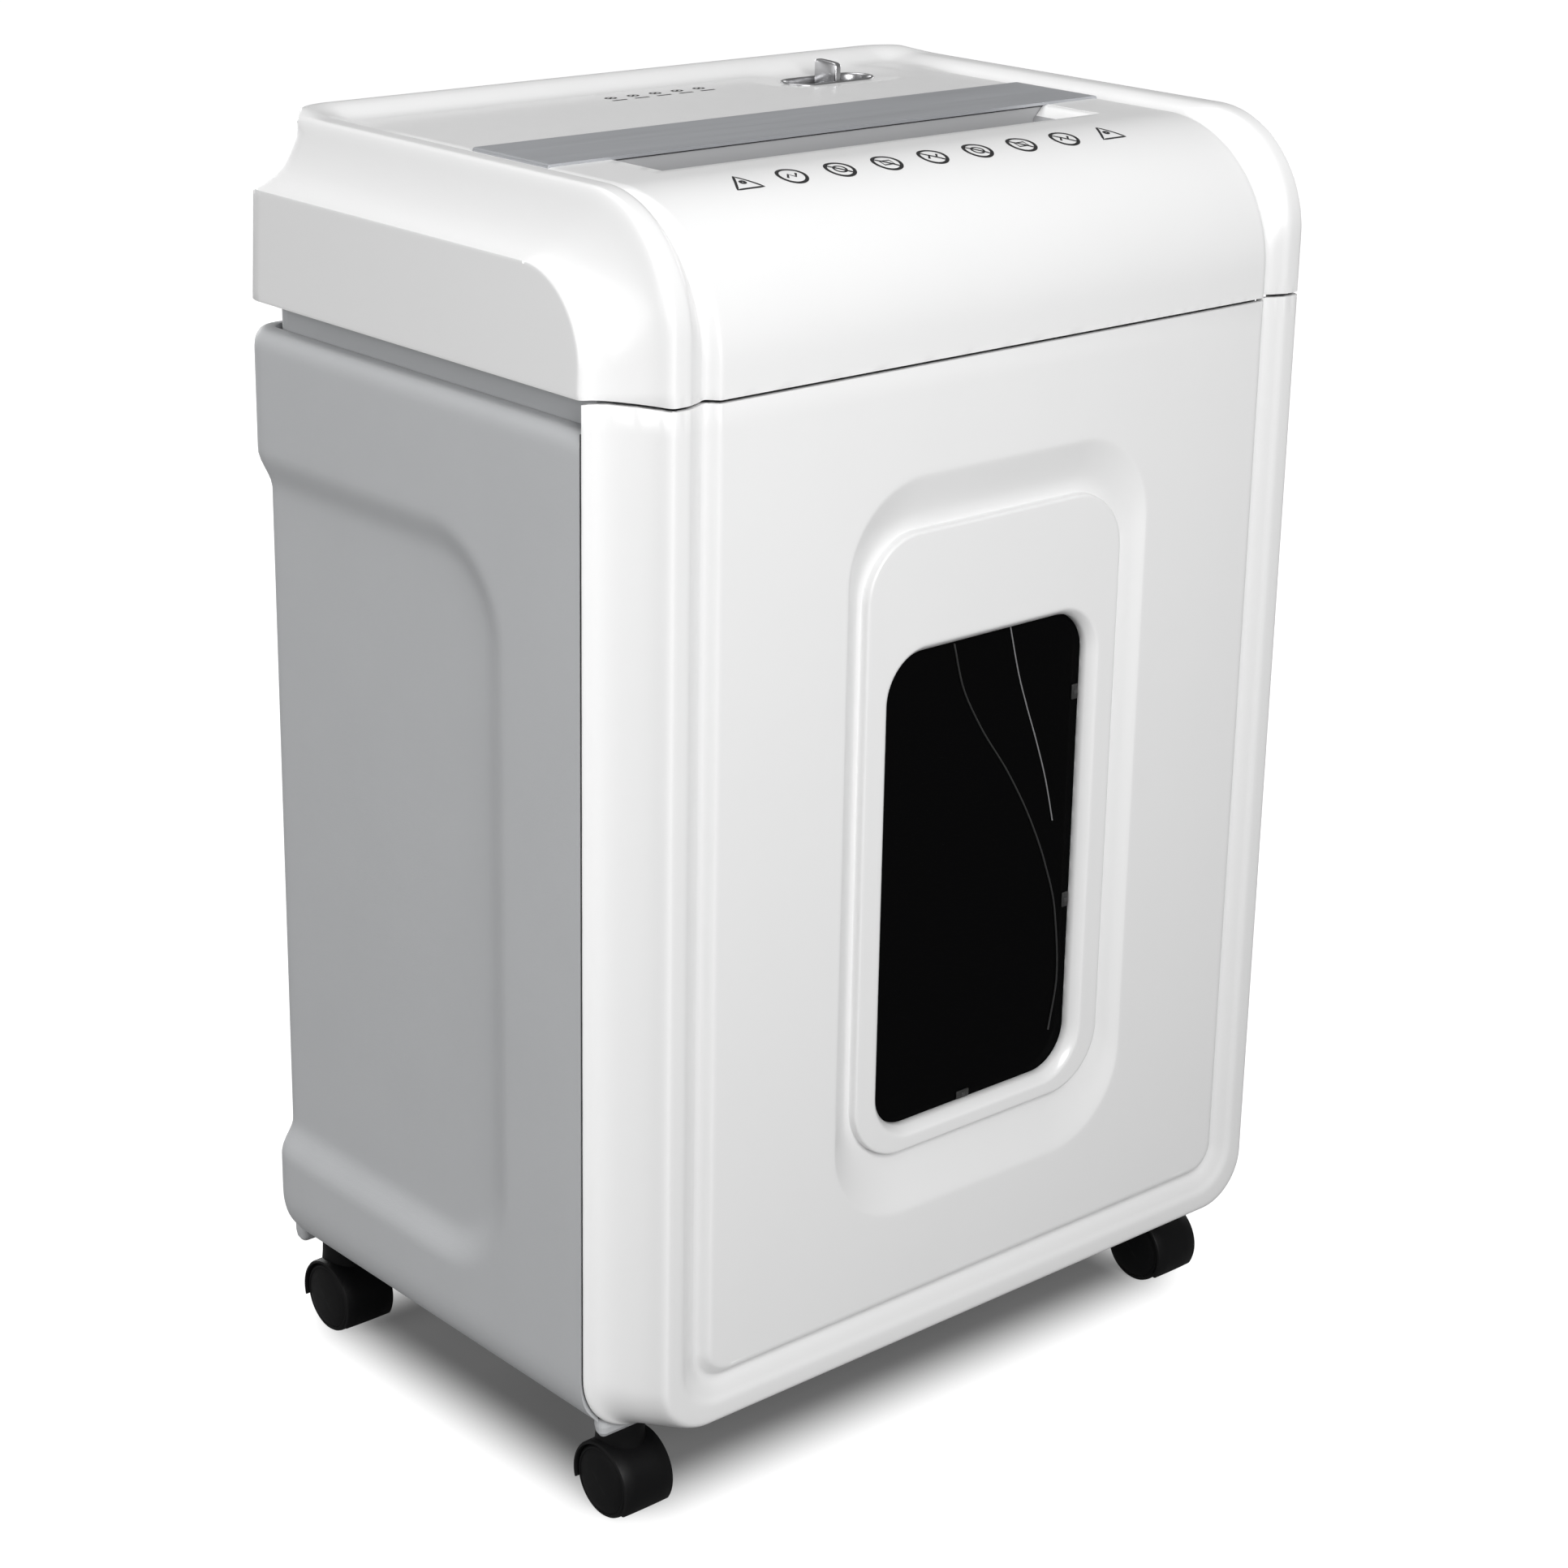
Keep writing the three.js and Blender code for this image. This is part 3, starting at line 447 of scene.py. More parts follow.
# ---------------------------------------------------------------- section across the corner
# Side position, and how far the surface stands behind the front panel. The head and the bin front share it.
CORNER_SECTION = [
    (151.6, 0.0), (152.5, 0.25), (153.6, 1.3), (155.6, 3.7), (156.9, 4.4), (158.2, 4.2), (160.2, 3.0),
    (162.6, 1.9), (164.6, 1.2), (166.4, 0.35), (168.0, 0.03), (169.5, 0.0), (173.2, 0.0), (174.6, 0.25),
    (175.7, 1.3), (176.6, 3.4), (177.9, 7.4), (180.0, 12.4), (182.6, 17.6), (185.4, 22.6), (188.4, 26.7),
    (191.6, 29.6), (193.4, 30.5), (194.4, 31.3), (194.9, 32.4), (195.0, 33.6),
]
SECTION_X = [p[0] for p in CORNER_SECTION]
SECTION_Y = [p[1] for p in CORNER_SECTION]
corner_depth = monotone(SECTION_X, SECTION_Y)
EDGE_X = sorted(set(
    SECTION_X + [153.0, 154.5, 156.2, 159.2, 161.4, 163.6, 165.5, 167.2, 171.4, 174.0, 175.2, 176.2, 177.2,
                 178.9, 181.3, 184.0, 186.9, 190.0, 192.6]
))

# ---------------------------------------------------------------- head cover
head_top = monotone(
    [151.6, 153.6, 156.9, 160.2, 162.6, 166.4, 169.5, 173.6, 175.2, 176.4, 178.2, 181.0, 185.4, 190.0, 195.0],
    [562.5, 561.9, 560.7, 562.2, 564.0, 565.7, 566.0, 566.0, 565.2, 562.6, 557.2, 550.6, 543.6, 539.2, 536.6],
)
head_radius = monotone([151.6, 156.9, 162, 168, 175, 178, 182, 188, 195], [60, 58, 54, 51, 50, 47, 44, 40, 37])
CORNER_R = 16.0
# Rim round the top: half width, corner radius, gap to the back, width of its rise, height and edge radius.
RIM = {"half": 177.0, "radius": 26.0, "lean": 1.0, "span": 24.0, "top": 568.0, "edge": 5.0}
# Paper mouth: half width, front and rear edge behind the front panel.
MOUTH = {"half": 122.0, "front": 73.0, "rear": 107.0}
SWITCH = (98.0, FRONT + 222)
SWITCH_LONG, SWITCH_WIDE = 51.0, 20.5
HOLE_INSET = 1.2  # how far the opening's edge stands inside the bezel's outline
TOP_LINES = [73, 74.2, 77, 81, 85, 90, 95, 100, 103.5, 107, 110] + [110 + 3.4 * i for i in range(1, 31)]


def rear_at(x, half, rear, radius):
    reach = min(radius, max(0.0, abs(x) - (half - radius)))
    return rear - radius + math.sqrt(max(0.0, radius ** 2 - reach ** 2))


def outside(x, y, half, rear, radius):
    """Distance outside an outline with two rounded rear corners (negative inside)."""
    qx, qy = abs(x) - (half - radius), y - (rear - radius)
    if qx > 0 and qy > 0:
        return math.hypot(qx, qy) - radius
    return max(qx, qy) - radius


def cove_height(x, y):
    """Height of the cove between the rim's outline and the crease, carried round the rear corners."""
    inner = outside(x, y, RIM["half"], DEPTH - RIM["lean"], RIM["radius"])
    outer = -outside(x, y, SIDE, DEPTH, CORNER_R)
    share = max(0.0, min(1.0, inner / max(1e-6, inner + outer)))
    return head_top(RIM["half"] + share * (SIDE - RIM["half"]))


def beyond_middle(x):
    """How far x lies past the straight part of the switch opening."""
    return max(0.0, abs(x - SWITCH[0]) - (SWITCH_LONG - SWITCH_WIDE) / 2)


def switch_distance(x, y):
    """How far a point is outside the switch's stadium outline (negative inside)."""
    return math.hypot(beyond_middle(x), y - SWITCH[1]) - SWITCH_WIDE / 2


def on_switch_opening(x, y):
    """Rows that pass close to the switch opening are drawn onto its edge."""
    r = SWITCH_WIDE / 2 - HOLE_INSET
    dx = beyond_middle(x)
    if dx >= r:
        return y
    reach = math.sqrt(r * r - dx * dx)
    offset = y - SWITCH[1]
    return SWITCH[1] + math.copysign(reach, offset) if abs(abs(offset) - reach) < 1.76 else y


def head_profile(x):
    ax = abs(x)
    front = corner_depth(ax)
    top = head_top(ax)
    radius = head_radius(ax)
    wall = rear_at(x, SIDE, DEPTH, CORNER_R)
    rear = rear_at(x, RIM["half"], DEPTH - RIM["lean"], RIM["radius"])
    plain = PANEL_TOP + 3.5 * smooth(150, 168, ax) if ax < 168 else top
    rise = RIM["top"] - plain if ax < 168 else max(0.0, (RIM["top"] - 566.0) * (1 - smooth(168, 176, ax)))
    rim = plain + rise

    def level(y):
        return lerp(top, plain, smooth(185, 236, y))

    pts = [(front, z) for z in spread(SEAM + 0.3, top - radius, 4)]
    pts += arc(front + radius, top - radius, radius, 180, 90, 30)[1:]
    start = front + radius
    pts += [(lerp(start, MOUTH["front"], t), top) for t in (0.35, 0.7)]
    flat_end = rear - RIM["span"]
    slot_rear = MOUTH["rear"]
    squeeze = min(1.0, (flat_end - slot_rear) / (TOP_LINES[-1] - slot_rear))
    lines = [v if v <= slot_rear else slot_rear + (v - slot_rear) * squeeze for v in TOP_LINES]
    pts += [(v, level(v)) for v in lines]
    begin = pts[-1][0]
    for t in spread(0, 1, 14)[1:]:
        y = lerp(begin, rear - RIM["edge"], t)
        pts.append((y, lerp(level(y), rim, smooth(flat_end, rear - RIM["edge"] - 1, y))))
    edge = max(0.02, RIM["edge"] * (1 - smooth(171, 178, ax)))
    pts += [
        (rear - RIM["edge"] + p[0] * RIM["edge"], rim - edge + p[1] * edge) for p in arc(0, 0, 1, 90, 8, 6)[1:]
    ]
    for t in (0.12, 0.25, 0.4, 0.55, 0.7, 0.85, 1.0):
        y = lerp(rear, wall, t)
        pts.append((y, min(cove_height(x, y), rim - edge)))
    pts += [(wall, z) for z in (534, 531, 523, 513, 504, 498, 494, SEAM + 0.3)]
    out = []
    for y, z in pts:
        yy = FRONT + y
        if z > 540 and y > 150 and ax < 150:
            yy = on_switch_opening(x, yy)
            z -= SINK * (1 - smooth(-1, 17, switch_distance(x, yy)))
        out.append((x, yy, z))
    return out


def lean(p):
    """The side walls lean out from the crease to their foot."""
    x, y, z = p
    near = smooth(176, 194.5, abs(x))
    pull = 2.2 * near * max(0.0, (z - SEAM) / (CREASE_TOP - SEAM))
    return (x - math.copysign(pull, x), y, z)


# Openings in the head's back: middles of the vents, their lower and upper end, and the power inlet's box.
VENTS = [(i - 5) * 11.0 for i in range(11)]
VENT_HALF = 2
VENT_LOW, VENT_HIGH = 504, 534
INLET = (-133.0, -107.0, 504.0, 523.0)


def head_stations():
    marks = {MOUTH["half"], -MOUTH["half"], INLET[0], INLET[1], 112.5, -112.5, 0.0}
    marks.update(v + s for v in VENTS for s in (-VENT_HALF, VENT_HALF))
    marks.update(SWITCH[0] + d for d in range(-42, 46, 2))
    marks.update(s * (122 + 6 * k) for s in (-1, 1) for k in range(1, 5))
    marks.update(-66 - 6 * k for k in range(7))
    marks.update((-150.6, -143, 150.6))
    middle = sorted(m for m in marks if abs(m) < 151)
    kept = [middle[0]]
    for m in middle[1:]:
        if m - kept[-1] > 0.3:
            kept.append(m)
    return [-x for x in reversed(EDGE_X)] + kept + EDGE_X


def make_head():
    xs = head_stations()
    rows = [head_profile(x) for x in xs]
    count = len(rows[0])
    slot_front, slot_rear = FRONT + MOUTH["front"], FRONT + MOUTH["rear"]

    def keep(r, c):
        corners = (rows[r][c], rows[r + 1][c], rows[r][c + 1], rows[r + 1][c + 1])
        x, y, z = (sum(p[k] for p in corners) / 4 for k in range(3))
        if z > 555 and abs(x) < MOUTH["half"] and slot_front < y < slot_rear:
            return False
        if z > 555 and switch_distance(x, y) < -HOLE_INSET:
            return False
        if y > BACK - 3 and z < 540:
            if INLET[0] < x < INLET[1] and INLET[2] < z < INLET[3]:
                return False
            if VENT_LOW < z < VENT_HIGH and any(abs(x - v) < VENT_HALF for v in VENTS):
                return False
        return True

    verts = [lean(p) for row in rows for p in row]
    faces = grid_faces(len(rows), count, keep=keep)
    last = (len(rows) - 1) * count
    faces += [tuple(range(count)), tuple(range(last, last + count))]
    obj = make_object("head_shell", verts, faces, sharp=75)
    inset_large(obj, 1.2)
    solidify(obj, 2.6)
    bevel(obj, 0.5, angle=48, segments=3)
    obj.data.set_sharp_from_angle(angle=math.radians(70))
    finish_piece(obj, "cabinet", "white_plastic", "head_cover")


make_head()


# ---------------------------------------------------------------- bin front
def u_outline(w, low, r, top):
    """Open U, from its upper left end round to its upper right end."""
    pts = [(-w, z) for z in spread(top, low + r, 40)[:-1]]
    pts += arc(-w + r, low + r, r, 180, 270, 16)
    pts += [(x, low) for x in spread(-w + r, w - r, 40)[1:-1]]
    pts += arc(w - r, low + r, r, 270, 360, 16)
    pts += [(w, z) for z in spread(low + r, top, 40)[1:]]
    return pts


BIN_TOP = SEAM - 1.1
bin_low = monotone(
    [150.4, 151.6, 156.9, 162.6, 168.0, 173.2, 175.7, 177.9, 182.6, 188.4, 195.0],
    [80.2, 79.0, 73.8, 68.2, 62.8, 57.6, 54.8, 52.6, 50.4, 49.0, 48.4],
)
bin_corner = monotone(
    [150.4, 151.6, 156.9, 162.6, 168, 175.7, 182.6, 188.4, 195], [10.6, 11, 14, 17.5, 20.5, 23.5, 26, 28, 30]
)
BIN_SECTION = [p for p in CORNER_SECTION if p[0] < 188] + [
    (188.4, 26.3), (191.2, 28.0), (193.2, 28.6), (194.3, 29.0), (194.9, 29.6), (195.0, 30.1)]
bin_depth = monotone([p[0] for p in BIN_SECTION], [p[1] for p in BIN_SECTION])
BIN_X = [150.4] + sorted(set([x for x in EDGE_X if x < 188] + [p[0] for p in BIN_SECTION] + [190.0, 192.3]))
# Half width, lowest, highest point and corner radius of the outlines round the window, and their depth.
DISH_MOUTH, DISH_FOOT = (86.0, 117.0, 445.5, 41.0), (74.4, 142.6, 423.8, 29.6)
SURROUND = (72.6, 145.8, 420.2, 27.2)
WINDOW = (58.0, 156.0, 368.0, 19.0)
DISH_DEPTH = 6.0


def grown(outline, by):
    half, low, high, r = outline
    return (half + by, low - by, high + by, r + by)


def window_rings():
    rings = []
    for t, share in (
        (-0.1, 0.0), (0.0, 0.0), (0.04, 0.006), (0.08, 0.03), (0.12, 0.07), (0.2, 0.165), (0.35, 0.35),
        (0.5, 0.53), (0.65, 0.71), (0.78, 0.86), (0.86, 0.935), (0.93, 0.98), (1.0, 1.0),
    ):
        outline = tuple(lerp(a, b, t) for a, b in zip(DISH_MOUTH, DISH_FOOT))
        rings.append((outline, DISH_DEPTH * share))
    for by, depth in (
        (0.7, 6.1), (0.35, 6.1), (0.12, 5.9), (0.0, 5.3), (-0.04, 3.6), (-0.12, 2.8), (-0.4, 2.25),
        (-0.9, 2.03), (-1.6, 2.0), (-3.4, 2.0),
    ):
        rings.append((grown(SURROUND, by), depth))
    for by, depth in (
        (5.2, 2.0), (4.2, 2.0), (3.5, 2.15), (2.7, 2.7), (1.4, 4.2), (0.5, 5.5), (0.15, 6.3),
        (0.0, 7.4), (0.0, 9.2),
    ):
        rings.append((grown(WINDOW, by), depth))
    return [
        [(x, FRONT + depth, z) for x, z in rounded_rect(-o[0], o[0], o[1], o[2], o[3], steps=18, side=30)]
        for o, depth in rings
    ]


def make_bin_front():
    outer = [
        [(x, FRONT + bin_depth(w), z) for x, z in u_outline(w, bin_low(w), bin_corner(w), BIN_TOP)]
        for w in reversed(BIN_X)
    ]
    verts = [p for ring in outer for p in ring]
    faces = grid_faces(len(outer), len(outer[0]))
    rings = window_rings()
    first = len(verts)
    verts += [p for ring in rings for p in ring]
    faces += grid_faces(len(rings), len(rings[0]), closed=True, first=first)
    # Flat panel between the groove and the dish.
    edge_first = (len(outer) - 1) * len(outer[0])
    edge = list(range(edge_first, edge_first + len(outer[0])))
    hole = list(range(first, first + len(rings[0])))
    loops = [[Vector((verts[i][0], verts[i][2], 0)) for i in loop] for loop in (edge, hole)]
    index = edge + hole
    faces += [tuple(index[i] for i in tri) for tri in tessellate_polygon(loops)]
    obj = make_object("bin_front_panel", verts, faces, sharp=75)
    solidify(obj, 2.4)
    bevel(obj, 0.4, angle=62, segments=3)
    obj.data.set_sharp_from_angle(angle=math.radians(70))
    finish_piece(obj, "bin", "white_plastic", "bin_front")


make_bin_front()


# ---------------------------------------------------------------- cabinet
CABINET_FRONT = 31.7  # front edge of the side walls, behind the front panel
WALL = 9.0
# Side recess: start, lower end, upper end, corner radius, depth and the width of its sloping edge.
RECESS = (82.0, 95.0, 424.0, 47.0)
RECESS_DEPTH = 5.6
RECESS_EDGE = (-1.5, 16.0)


def inside_rounded(u, v, u0, v0, v1, r):
    """Distance inside a shape that is open towards larger u and has two rounded corners at u0."""
    cu = max(0.0, (u0 + r) - u)
    if u < u0 + r and (v < v0 + r or v > v1 - r):
        cv = (v0 + r) - v if v < v0 + r else v - (v1 - r)
        return r - math.hypot(cu, cv)
    return min(u - u0, v - v0, v1 - v)


def cabinet_path():
    """(x, y, outward x, outward y, distance back along the side) round the plan, left front to right front."""
    pts = []
    for y in [CABINET_FRONT, CABINET_FRONT + 0.5] + spread(CABINET_FRONT + 2, DEPTH - CORNER_R, 74):
        pts.append((-SIDE, y, -1.0, 0.0, y))
    for a in spread(180, 90, 12)[1:]:
        ca, sa = math.cos(math.radians(a)), math.sin(math.radians(a))
        x, y = -SIDE + CORNER_R + CORNER_R * ca, DEPTH - CORNER_R + CORNER_R * sa
        pts.append((x, y, ca, sa, 400.0))
    for x in spread(-SIDE + CORNER_R, 0, 36)[1:]:
        pts.append((x, DEPTH, 0.0, 1.0, 400.0))
    mirror = [(-x, y, -nx, ny, s) for x, y, nx, ny, s in reversed(pts[:-1])]
    return pts + mirror


cabinet_inset = monotone(
    [54.6, 56.5, 60.4, 64.0, 68.0, 72.0, 76.0, 469.0, 472.0, 474.4, 476.4, 477.6, 478.0],
    [9.0, 7.2, 4.0, 2.0, 0.8, 0.2, 0.0, 0.0, 0.25, 0.9, 2.1, 3.6, 5.2],
)


def make_cabinet():
    path = cabinet_path()
    levels = sorted(set(
        [54.6, 56.5, 58.4, 60.4, 62.2, 64, 66, 68, 70, 72, 76] + spread(79, 466, 128)
        + [469, 470.5, 472, 473.3, 474.4, 475.5, 476.4, 477.1, 477.6, 478]
    ))
    verts = []
    for z in levels:
        for x, y, nx, ny, s in path:
            d = cabinet_inset(z) + RECESS_DEPTH * smooth(*RECESS_EDGE, inside_rounded(s, z, *RECESS))
            verts.append((x - nx * d, FRONT + y - ny * d, z))
    count = len(path)
    faces = grid_faces(len(levels), count)
    # Flange that turns in behind the bin front, the rim of the top and the bay inside.
    bay = []
    for x, y, nx, ny, _ in path:
        bay.append((x - nx * WALL, FRONT + max(y - ny * WALL, CABINET_FRONT)))
    first = len(verts)
    for z in (LEDGE, LEDGE - 1, 300.0, 63.0, 62.0):
        verts += [(x, y, z) for x, y in bay]
    faces += grid_faces(5, count, first=first)
    top = (len(levels) - 1) * count
    faces += [(top + c, top + c + 1, first + c + 1, first + c) for c in range(count - 1)]
    floor = first + 4 * count
    faces.append(tuple(range(floor, floor + count)))
    # Front edges of the side walls.
    for c in (0, count - 1):
        outer = [r * count + c for r in range(len(levels))]
        faces.append(tuple(outer + [first + c, floor + c]))
    obj = make_object("cabinet_shell", verts, faces, sharp=60)
    finish_piece(obj, "cabinet", "grey_plastic", "cabinet_body")


make_cabinet()


def make_gap_shade():
    """Thin dark strips in the gap between the cabinet's front edges and the bin front: painted shadow for the
    shade in that gap.
    """
    strips = []
    w = 194.5
    whole = u_outline(w, bin_low(w), bin_corner(w), LEDGE - 0.6)
    for side in (-1, 1):
        line = [p for p in whole if p[0] * side > w - 12 and p[1] > bin_low(w) + 8]
        rings = []
        for x, z in line:
            t = max(0.0, (bin_low(w) + bin_corner(w)) - z) / bin_corner(w)
            ax, az = side * math.sqrt(max(0.0, 1 - t * t)), -t
            rings.append([
                (x - ax * inward, FRONT + y, z - az * inward)
                for inward, y in ((0.0, 30.35), (0.0, 31.65), (3.4, 31.65), (3.4, 30.35))
            ])
        strips.append(loft("strip", rings, sharp=30))
    finish_piece(merge("bay_gap_shade", strips), "cabinet", "black_plastic")


make_gap_shade()


# ---------------------------------------------------------------- behind the window
# Paths of thin tubes just behind the pane, standing for the light lines on folds of the liner: painted
# highlights.
LIGHT_LINE_RIGHT = [(15.0, 367.0), (21.2, 344.7), (27.0, 328.8), (33.4, 312.6), (40.5, 292.4), (45.6, 273.3)]
LIGHT_LINE_LEFT = [(-17.5, 366.0), (-11.9, 346.9), (-0.5, 326.3), (16.9, 302.1), (31.2, 278.2), (41.9, 254.9),
            (49.7, 230.2), (52.9, 198.9), (49.0, 173.5)]


def tube(name, path, radius, sides=8):
    rings = []
    for i, p in enumerate(path):
        q = path[min(i + 1, len(path) - 1)]
        o = path[max(i - 1, 0)]
        along = (Vector(q) - Vector(o)).normalized()
        side = along.cross(Vector((0, 1, 0))).normalized()
        up = side.cross(along)
        rings.append([
            tuple(Vector(p) + (side * math.cos(a) + up * math.sin(a)) * radius)
            for a in (2 * math.pi * k / sides for k in range(sides))
        ])
    return loft(name, rings)


def curve_through(points, count):
    zs = [-p[1] for p in points]
    line = monotone(zs, [p[0] for p in points])
    return [(line(z), FRONT + 8.9, -z) for z in spread(zs[0], zs[-1], count)]


def make_window_details():
    for name, points, radius, look in (("pane_light_line_right", LIGHT_LINE_RIGHT, 0.3, "light_line_grey"),
                                       ("pane_light_line_left", LIGHT_LINE_LEFT, 0.4, "light_line_dim")):
        finish_piece(tube(name, curve_through(points, 50), radius), "bin", "smoked_lens", look=look)
    clips = []
    for x, z in ((55.6, 330), (55.6, 234), (-56.6, 330), (-56.6, 234), (-3, 158.0)):
        wide, tall = (1.8, 3.4) if abs(x) > 40 else (3.6, 1.8)
        clips.append(box_mesh("clip", x - wide, x + wide, FRONT + 8.4, FRONT + 9.3, z - tall, z + tall, 0.4))
        clips.append(box_mesh("pin", x - 0.9, x + 0.9, FRONT + 8.0, FRONT + 8.6, z - 0.9, z + 0.9, 0.3))
    finish_piece(merge("pane_clips", clips), "bin", "smoked_lens", look="clip_grey")


make_window_details()


# ---------------------------------------------------------------- casters
AXLE_Z = 16.5  # the wheels' radius


def swept(name, section, a0, a1, centre, steps=40):
    """Section of (x, radius) points swept about an axle from angle a0 to a1, in degrees from -Y through up."""
    x0, y0, z0 = centre
    rings = []
    for a in spread(a0, a1, steps):
        ca, sa = math.cos(math.radians(a)), math.sin(math.radians(a))
        rings.append([(x0 + x, y0 - r * ca, z0 + r * sa) for x, r in section])
    return loft(name, rings, sharp=40)


def turned(name, profile, centre, side=1, steps=72):
    """Profile of (radius, x) points turned about an axle through the centre."""
    x0, y0, z0 = centre
    verts = []
    for r, x in profile:
        for k in range(steps):
            a = 2 * math.pi * k / steps
            verts.append((x0 + side * x, y0 + r * math.cos(a), z0 + r * math.sin(a)))
    faces = grid_faces(len(profile), steps, closed=True)
    return make_object(name, verts, faces, sharp=40)


def make_caster(corner):
    low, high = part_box(f"caster_hood_{corner}")
    x = (low.x + high.x) / 2 / MM
    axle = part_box(f"axle_{corner}")
    y = (axle[0].y + axle[1].y) / 2 / MM
    centre = (x, y, AXLE_Z)
    stem_y = y + 2.0
    rim = [(-13.0, 17.0), (-12.7, 17.9), (-12.0, 18.3), (-6, 18.4), (0, 18.44), (6, 18.4), (12.0, 18.3),
           (12.7, 17.9), (13.0, 17.0), (12.6, 16.75), (-12.6, 16.75)]
    shell = swept("rim", rim, -32, 196, centre, 60)
    web = swept("web", [(-1.7, 3.0), (1.7, 3.0), (1.7, 17.2), (-1.7, 17.2)], -30, 176, centre, 40)
    neck_rings = []
    for z, r in (
        (28.0, 11.4), (30.5, 11.2), (32.5, 10.9), (34.5, 10.7), (37.0, 10.5), (40.0, 10.4), (43.2, 10.4),
        (44.1, 10.1), (44.5, 9.4),
    ):
        neck_rings.append([
            (x + r * math.cos(a), stem_y + r * math.sin(a), z)
            for a in (2 * math.pi * k / 40 for k in range(40))
        ])
    neck = loft("neck", neck_rings)
    hood = merge(f"caster_cover_{corner}", [shell, web, neck])
    finish_piece(hood, f"caster_{corner}", "caster_black", f"caster_hood_{corner}")
    for name, side in (("a", -1), ("b", 1)):
        profile = [(2.8, 2.4), (12.0, 2.4), (15.2, 2.5), (16.2, 3.0), (16.5, 4.0), (16.5, 10.0), (16.3, 10.9),
                   (15.7, 11.7), (15.0, 12.1), (14.6, 12.1), (14.3, 11.8), (14.0, 11.9), (13.2, 12.35),
                   (10.5, 12.85), (7.0, 13.2), (3.5, 13.4), (0.05, 13.45)]
        wheel = turned(f"wheel_disc_{corner}_{name}", profile, centre, side)
        finish_piece(wheel, f"wheels_{corner}", "caster_black", f"wheel_{corner}_{name}")


for corner in ("front_left", "front_right", "rear_left", "rear_right"):
    make_caster(corner)


# ---------------------------------------------------------------- entry plate
def make_plate():
    half, y0, y1, top = 151.9, 104.3, 153.6, 563.6
    section = [(-half - 0.9, 560.4)] + [(-half + p[0], top - 1.3 + p[1]) for p in arc(0, 0, 1.3, 175, 95, 5)]
    section += [(x, top) for x in spread(-half + 2, half - 2, 40)]
    section += [(half + p[0], top - 1.3 + p[1]) for p in arc(0, 0, 1.3, 85, 5, 5)] + [(half + 0.9, 560.4)]
    rows = []
    for y in [y0, y0 + 0.4] + spread(y0 + 2, y1 - 2, 10) + [y1 - 0.4, y1]:
        rows.append([(x, FRONT + y, z) for x, z in section])
    verts = [p for row in rows for p in row]
    obj = make_object("entry_sheet", verts, grid_faces(len(rows), len(section)), sharp=50)
    solidify(obj, 1.3)
    weld(obj)
    bevel(obj, 0.2, angle=55, segments=2)
    finish_piece(obj, "cabinet", "satin_plate", "entry_plate")
    # Thin black strip under the plate's front edge: a painted shadow line where the plate overhangs the slot.
    shadow_strip = box_mesh("entry_shadow_strip", -121.2, 121.2, FRONT + 104.9, FRONT + 106.6, 561.7, 562.25, 0.15)
    finish_piece(shadow_strip, "cabinet", "black_plastic")


make_plate()


def slot_ring(half, y0, y1, z, r=0.8):
    outline = rounded_rect(-half, half, FRONT + y0, FRONT + y1, r, steps=3, side=4)
    return [(x, y, z) for x, y in outline]


def face_out(obj):
    """True where a tube's faces point away from its middle."""
    face = obj.data.polygons[0]
    middle = sum((v.co for v in obj.data.vertices), Vector()) / len(obj.data.vertices)
    flat = face.center - middle
    return face.normal.x * flat.x + face.normal.y * flat.y > 0


RAMP = (
    (121.7, 562.35), (120.6, 562.2), (119.6, 561.7), (116.4, 558.2), (113.6, 554.4), (113.3, 553.4),
    (117.0, 555.6), (121.7, 559.8),
)


def make_funnel():
    inner = [(121.9, 73.1, 106.9, 562.0), (121.8, 73.3, 106.9, 561.0), (116.0, 74.5, 106.8, 556.4),
             (114.4, 75.5, 105.6, 553.4), (113.0, 76.5, 101.8, 547.0), (113.0, 81.0, 96.5, 538.0),
             (113.0, 85.0, 93.0, 526.5)]
    obj = loft("paper_funnel", [slot_ring(*ring) for ring in inner], caps=False, sharp=30)
    solidify(obj, 1.1, offset=-1.0 if face_out(obj) else 1.0)
    bevel(obj, 0.25, angle=40)
    # The guide takes the darker grey: painted shade in the slot.
    finish_piece(obj, "cabinet", "grey_plastic", "paper_guide", look="guide_shaded_grey")
    ramps = []
    for side in (-1, 1):
        rings = []
        for y in spread(73.4, 105.2, 8):
            rings.append([(side * a, FRONT + y, z) for a, z in RAMP])
        ramps.append(loft("ramp", rings, sharp=40))
    finish_piece(merge("slot_ramps", ramps), "cabinet", "white_plastic")


make_funnel()


# ---------------------------------------------------------------- slide switch
def stadium(long, wide, z):
    half, r = (long - wide) / 2, wide / 2
    pts = [(SWITCH[0] + half + p[0], SWITCH[1] + p[1], z) for p in arc(0, 0, r, -90, 90, 24)]
    pts += [(SWITCH[0] - half + p[0], SWITCH[1] + p[1], z) for p in arc(0, 0, r, 90, 270, 24)]
    return pts


